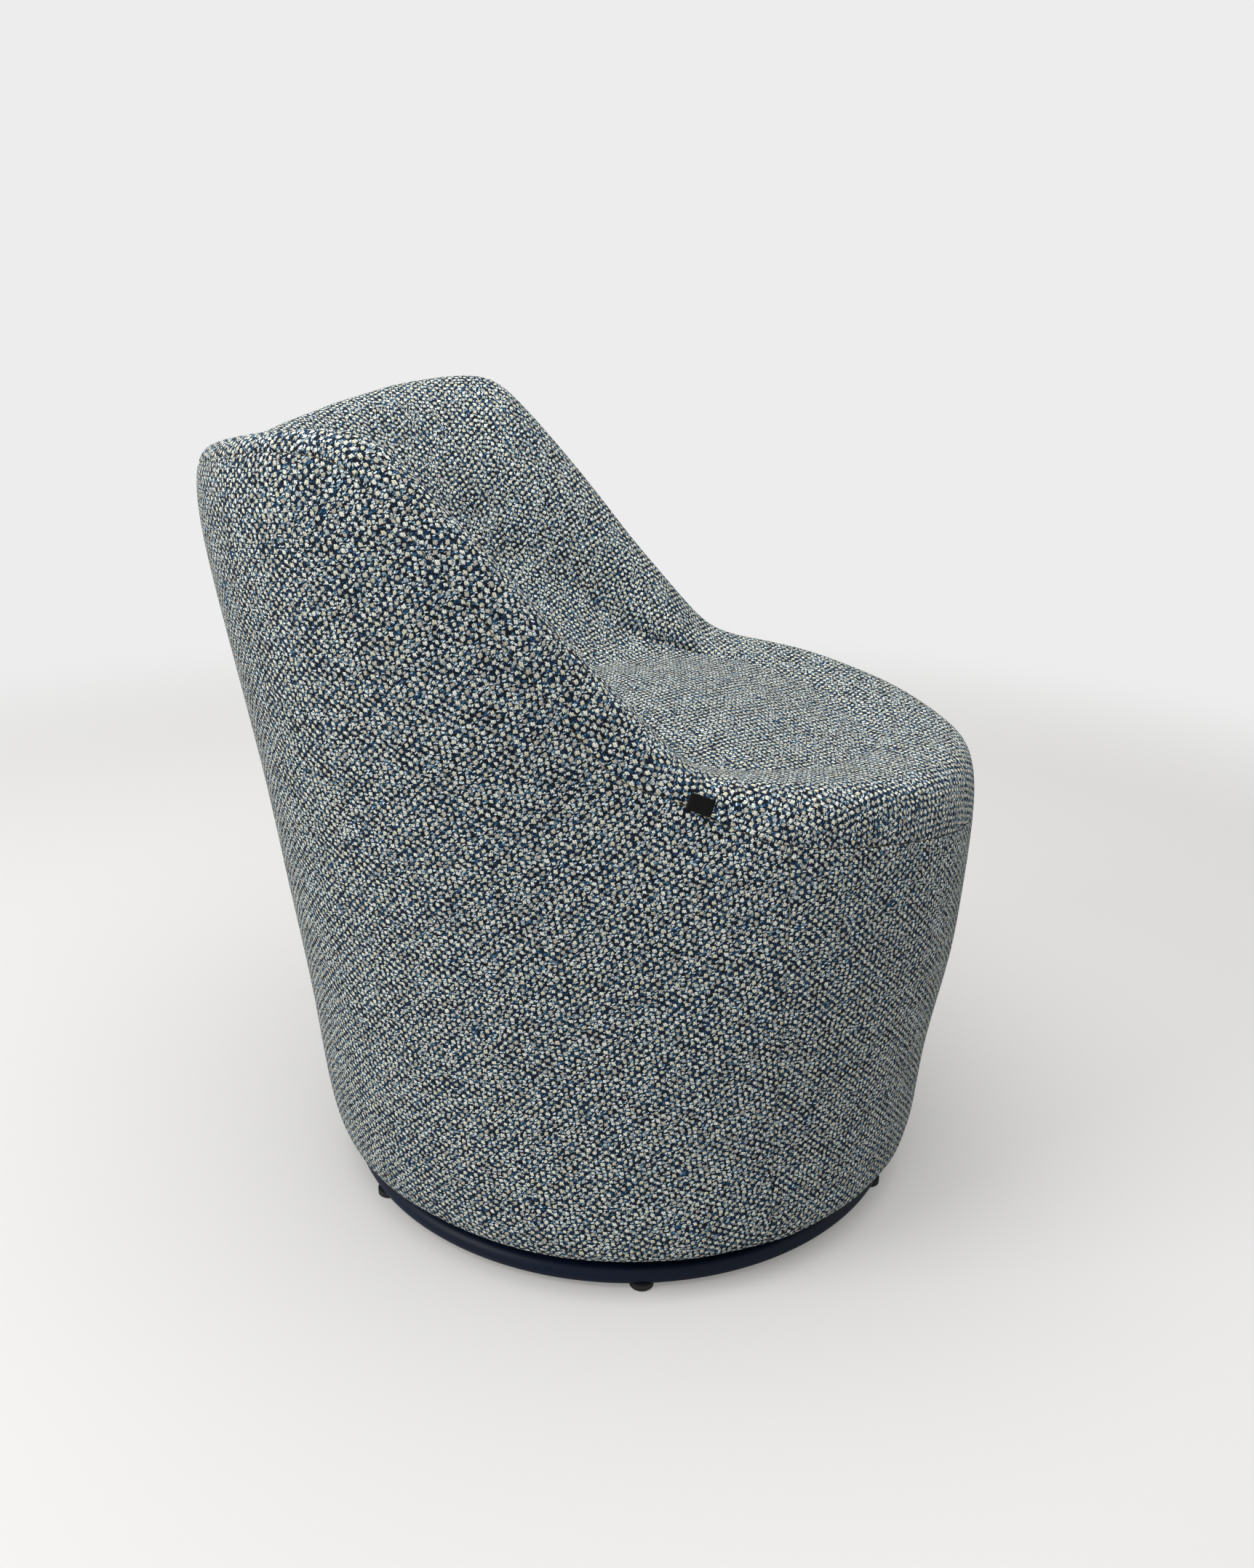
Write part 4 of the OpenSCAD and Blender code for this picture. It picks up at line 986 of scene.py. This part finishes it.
def staples(name, radius, height, count, seed):
    """A row of wire staples in a circle, under the base board. Each is driven a little askew."""
    t = Shape(
        name, Row_radius=radius, Count=count, Crown=0.0105, Wire=0.0009,
        Middle=(0.0, -MIDDLE, height), Seed=seed, Material=BOLT_STEEL,
    )
    wire, half = t.size("Wire"), t.size("Crown") * 0.5
    row = t.node("CurvePrimitiveCircle", None, {"Resolution": t.size("Count"), "Radius": t.size("Row radius")})
    back = half * -1.0
    crown = t.node("CurvePrimitiveLine", None, {"Start": t.join(back, 0.0), "End": t.join(half, 0.0)})
    crown = t.node("ResampleCurve", None, {"Curve": crown, "Count": 11})
    x = t.split(t.node("InputPosition"))[0]
    bend = (abs(x) - half * 0.72).most(0.0) / (half * 0.28)
    crown = t.node("SetPosition", None, {"Geometry": crown, "Offset": t.join(0.0, 0.0, bend * bend * wire * 1.6)})
    section = t.node("CurvePrimitiveCircle", None, {"Resolution": 6, "Radius": wire * 0.5})
    staple = t.node("CurveToMesh", None, {0: crown, 1: section, "Fill Caps": True})
    askew = t.node(
        "RandomValue", {"data_type": "FLOAT_VECTOR"},
        {0: (-0.14, -0.14, 0.0), 1: (0.14, 0.14, 0.0), "Seed": t.size("Seed")},
    )
    along = t.node("VectorMath", {"operation": "ADD"}, {0: t.node("InputTangent"), 1: askew})
    turn = t.node("AlignRotationToVector", {"axis": "X", "pivot_axis": "Z"}, {"Vector": along})
    row = t.node("InstanceOnPoints", None, {"Points": row, "Instance": staple, "Rotation": turn})
    row = t.node("RealizeInstances", None, {"Geometry": row})
    row = t.node("Transform", None, {"Geometry": row, "Translation": t.size("Middle")})
    return t.made(name, row, "seat", "bolt_steel")


side_panel("front_cover", "cover_front", -SEAM_ANGLE, SEAM_ANGLE, 25)
side_panel("wrap_cover", "cover_wrap", SEAM_ANGLE, 360 - SEAM_ANGLE, 49)
for make in (cover_top, folded_tag, tube_ring, weld_beads):
    make()
dust_low, dust_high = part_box("dust_cover")
staples("dust_cloth_staples", dust_high[0] - STAPLE_INSET, dust_low[2] - 0.0002, 48, 1)
staples("hem_staples", BASE_R - TURN_IN + STAPLE_INSET, BASE_Z - 0.0004, 72, 2)
foam_block("foam_front", foam_wall, -60, 60, 49)
foam_block("foam_left", foam_wall, 60, 132, 31)
foam_block("foam_right", foam_wall, -132, -60, 31)
foam_block("foam_back", foam_wall, 132, 228, 41)
foam_block("foam_seat", foam_pad)


# Solids that keep their shape and take a finer finish
def dress(names, material):
    """Gives the solids of these nodes one material."""
    for name in names:
        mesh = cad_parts[name].data
        mesh.materials.clear()
        mesh.materials.append(material)


dress(["cross_bar_long", "cross_bar_left", "cross_bar_right"], BAR_PAINT)
dress(["hub_plate", "race_lower", "race_upper"], ZINC)
dress(["foot_%d" % k for k in range(1, 7)], FOOT_PLASTIC)
dress(["bolts_lower", "nuts_lower", "pivot_stud", "pivot_washer", "pivot_nut", "bolts_upper", "tee_nuts"], BOLT_STEEL)
dress(["balls"], BALL_STEEL)
dress(["ball_cage"], CAGE_BRASS)
dress(["base_board", "seat_rim"], birch_plywood("plywood_level"))
dress(["front_rail", "back_rail_low", "back_rail_high"], birch_plywood("plywood_rail"))
for name, turn in (
    ("former_front", 0), ("former_front_left", 50), ("former_front_right", -50), ("former_side_left", 100),
    ("former_side_right", -100), ("former_back_left", 140), ("former_back_right", -140), ("former_back", 180),
):
    dress([name], birch_plywood("plywood_%s" % name[7:], turn))
dress(["straps_across", "straps_along"], WEBBING)
dress(["dust_cover"], DUST)


# Stage, lights and camera
SURROUND_LIGHT = 0.205


def stage():
    """A plain pale floor that fades into the pale surround."""
    around = 96
    radii = (0.0, 0.4, 1.0, 2.0, 4.0, 8.0, 16.0)
    a = np.linspace(0, 2 * math.pi, around, endpoint=False)
    points = [(0, 0, 0)] + [(r * math.sin(t), r * math.cos(t), 0) for r in radii[1:] for t in a]
    faces = [(0, 1 + (k + 1) % around, 1 + k) for k in range(around)]
    for ring in range(len(radii) - 2):
        o = 1 + ring * around
        faces += [(o + k, o + (k + 1) % around, o + around + (k + 1) % around, o + around + k) for k in range(around)]
    floor = mesh_object("studio_floor", points, faces)
    p = Paint("floor_paint", Roughness=0.9, Specular_IOR_Level=0.1)
    shade = p.mix(p.noise(p.place(), 0.7, 2.0), (208, 207, 206), (205, 204, 203))
    p.finish(shade)
    x, y, z = p.split(p.place())
    far = ((x * x + y * y) ** 0.5).ease(0.9, 2.2)
    seen = p.node("LightPath", out="Is Camera Ray")
    glow = p.node("Emission", None, {"Color": p.mix(far, (229, 228, 226), (237, 237, 237)), "Strength": 1.0})
    mixed = p.node("MixShader", None, {0: far.most(0.3 * seen), 1: Wire(p, p.shader.outputs[0]), 2: glow})
    p.tree.links.new(mixed.socket, p.tree.nodes["Material Output"].inputs[0])
    floor.data.materials.append(p.material)


def soft_box(name, place, aim, size, watts):
    """A flat rectangular lamp at a place, aimed at a point."""
    data = bpy.data.lights.new(name, "AREA")
    data.shape, data.size, data.size_y, data.energy = "RECTANGLE", size[0], size[1], watts
    lamp = bpy.data.objects.new(name, data)
    bpy.context.scene.collection.objects.link(lamp)
    lamp.location = place
    lamp.rotation_euler = (Vector(aim) - Vector(place)).to_track_quat("-Z", "Y").to_euler()


def surround():
    """Even pale light from all round. The camera and gloss see the pale backdrop."""
    world = bpy.data.worlds.new("pale_surround")
    bpy.context.scene.world = world
    world.use_nodes = True
    tree = world.node_tree
    back = tree.nodes["Background"]
    back.inputs["Color"].default_value = linear((237, 237, 237))
    path = tree.nodes.new("ShaderNodeLightPath")
    most = tree.nodes.new("ShaderNodeMath")
    most.operation = "MAXIMUM"
    tree.links.new(path.outputs["Is Camera Ray"], most.inputs[0])
    tree.links.new(path.outputs["Is Glossy Ray"], most.inputs[1])
    level = tree.nodes.new("ShaderNodeMapRange")
    level.inputs["To Min"].default_value = SURROUND_LIGHT
    level.inputs["To Max"].default_value = 1.0
    tree.links.new(most.outputs[0], level.inputs["Value"])
    tree.links.new(level.outputs[0], back.inputs["Strength"])


def camera():
    """The photograph's place of view, worked out from the ring, the feet and the chair's outline."""
    az, el, roll, away = math.radians(-85.98), math.radians(21.01), math.radians(1.27), 1.368
    back = Vector((math.sin(az) * math.cos(el), -math.cos(az) * math.cos(el), math.sin(el)))
    right = Vector((math.cos(az), math.sin(az), 0))
    up = back.cross(right)
    target = Vector((0, -MIDDLE, 0.3856)) - 0.0039 * right
    across = right * math.cos(roll) + up * math.sin(roll)
    upward = up * math.cos(roll) - right * math.sin(roll)
    data = bpy.data.cameras.new("studio_camera")
    data.sensor_fit, data.sensor_height, data.lens = "VERTICAL", 36.0, 30.94
    data.clip_start, data.clip_end = 0.05, 100.0
    eye = bpy.data.objects.new("studio_camera", data)
    bpy.context.scene.collection.objects.link(eye)
    eye.matrix_world = Matrix.Translation(target + back * away) @ Matrix(
        [[across[i], upward[i], back[i]] for i in range(3)]
    ).to_4x4()
    bpy.context.scene.camera = eye


stage()
surround()
soft_box("back_box", (-1.6, 2.6, 1.9), (0, 0.2, 0.5), (1.8, 1.8), 60)
soft_box("top_box", (-0.3, 0.2, 3.2), (0, 0, 0.2), (3.8, 3.8), 164)
camera()
bpy.context.scene.view_settings.view_transform = "Standard"
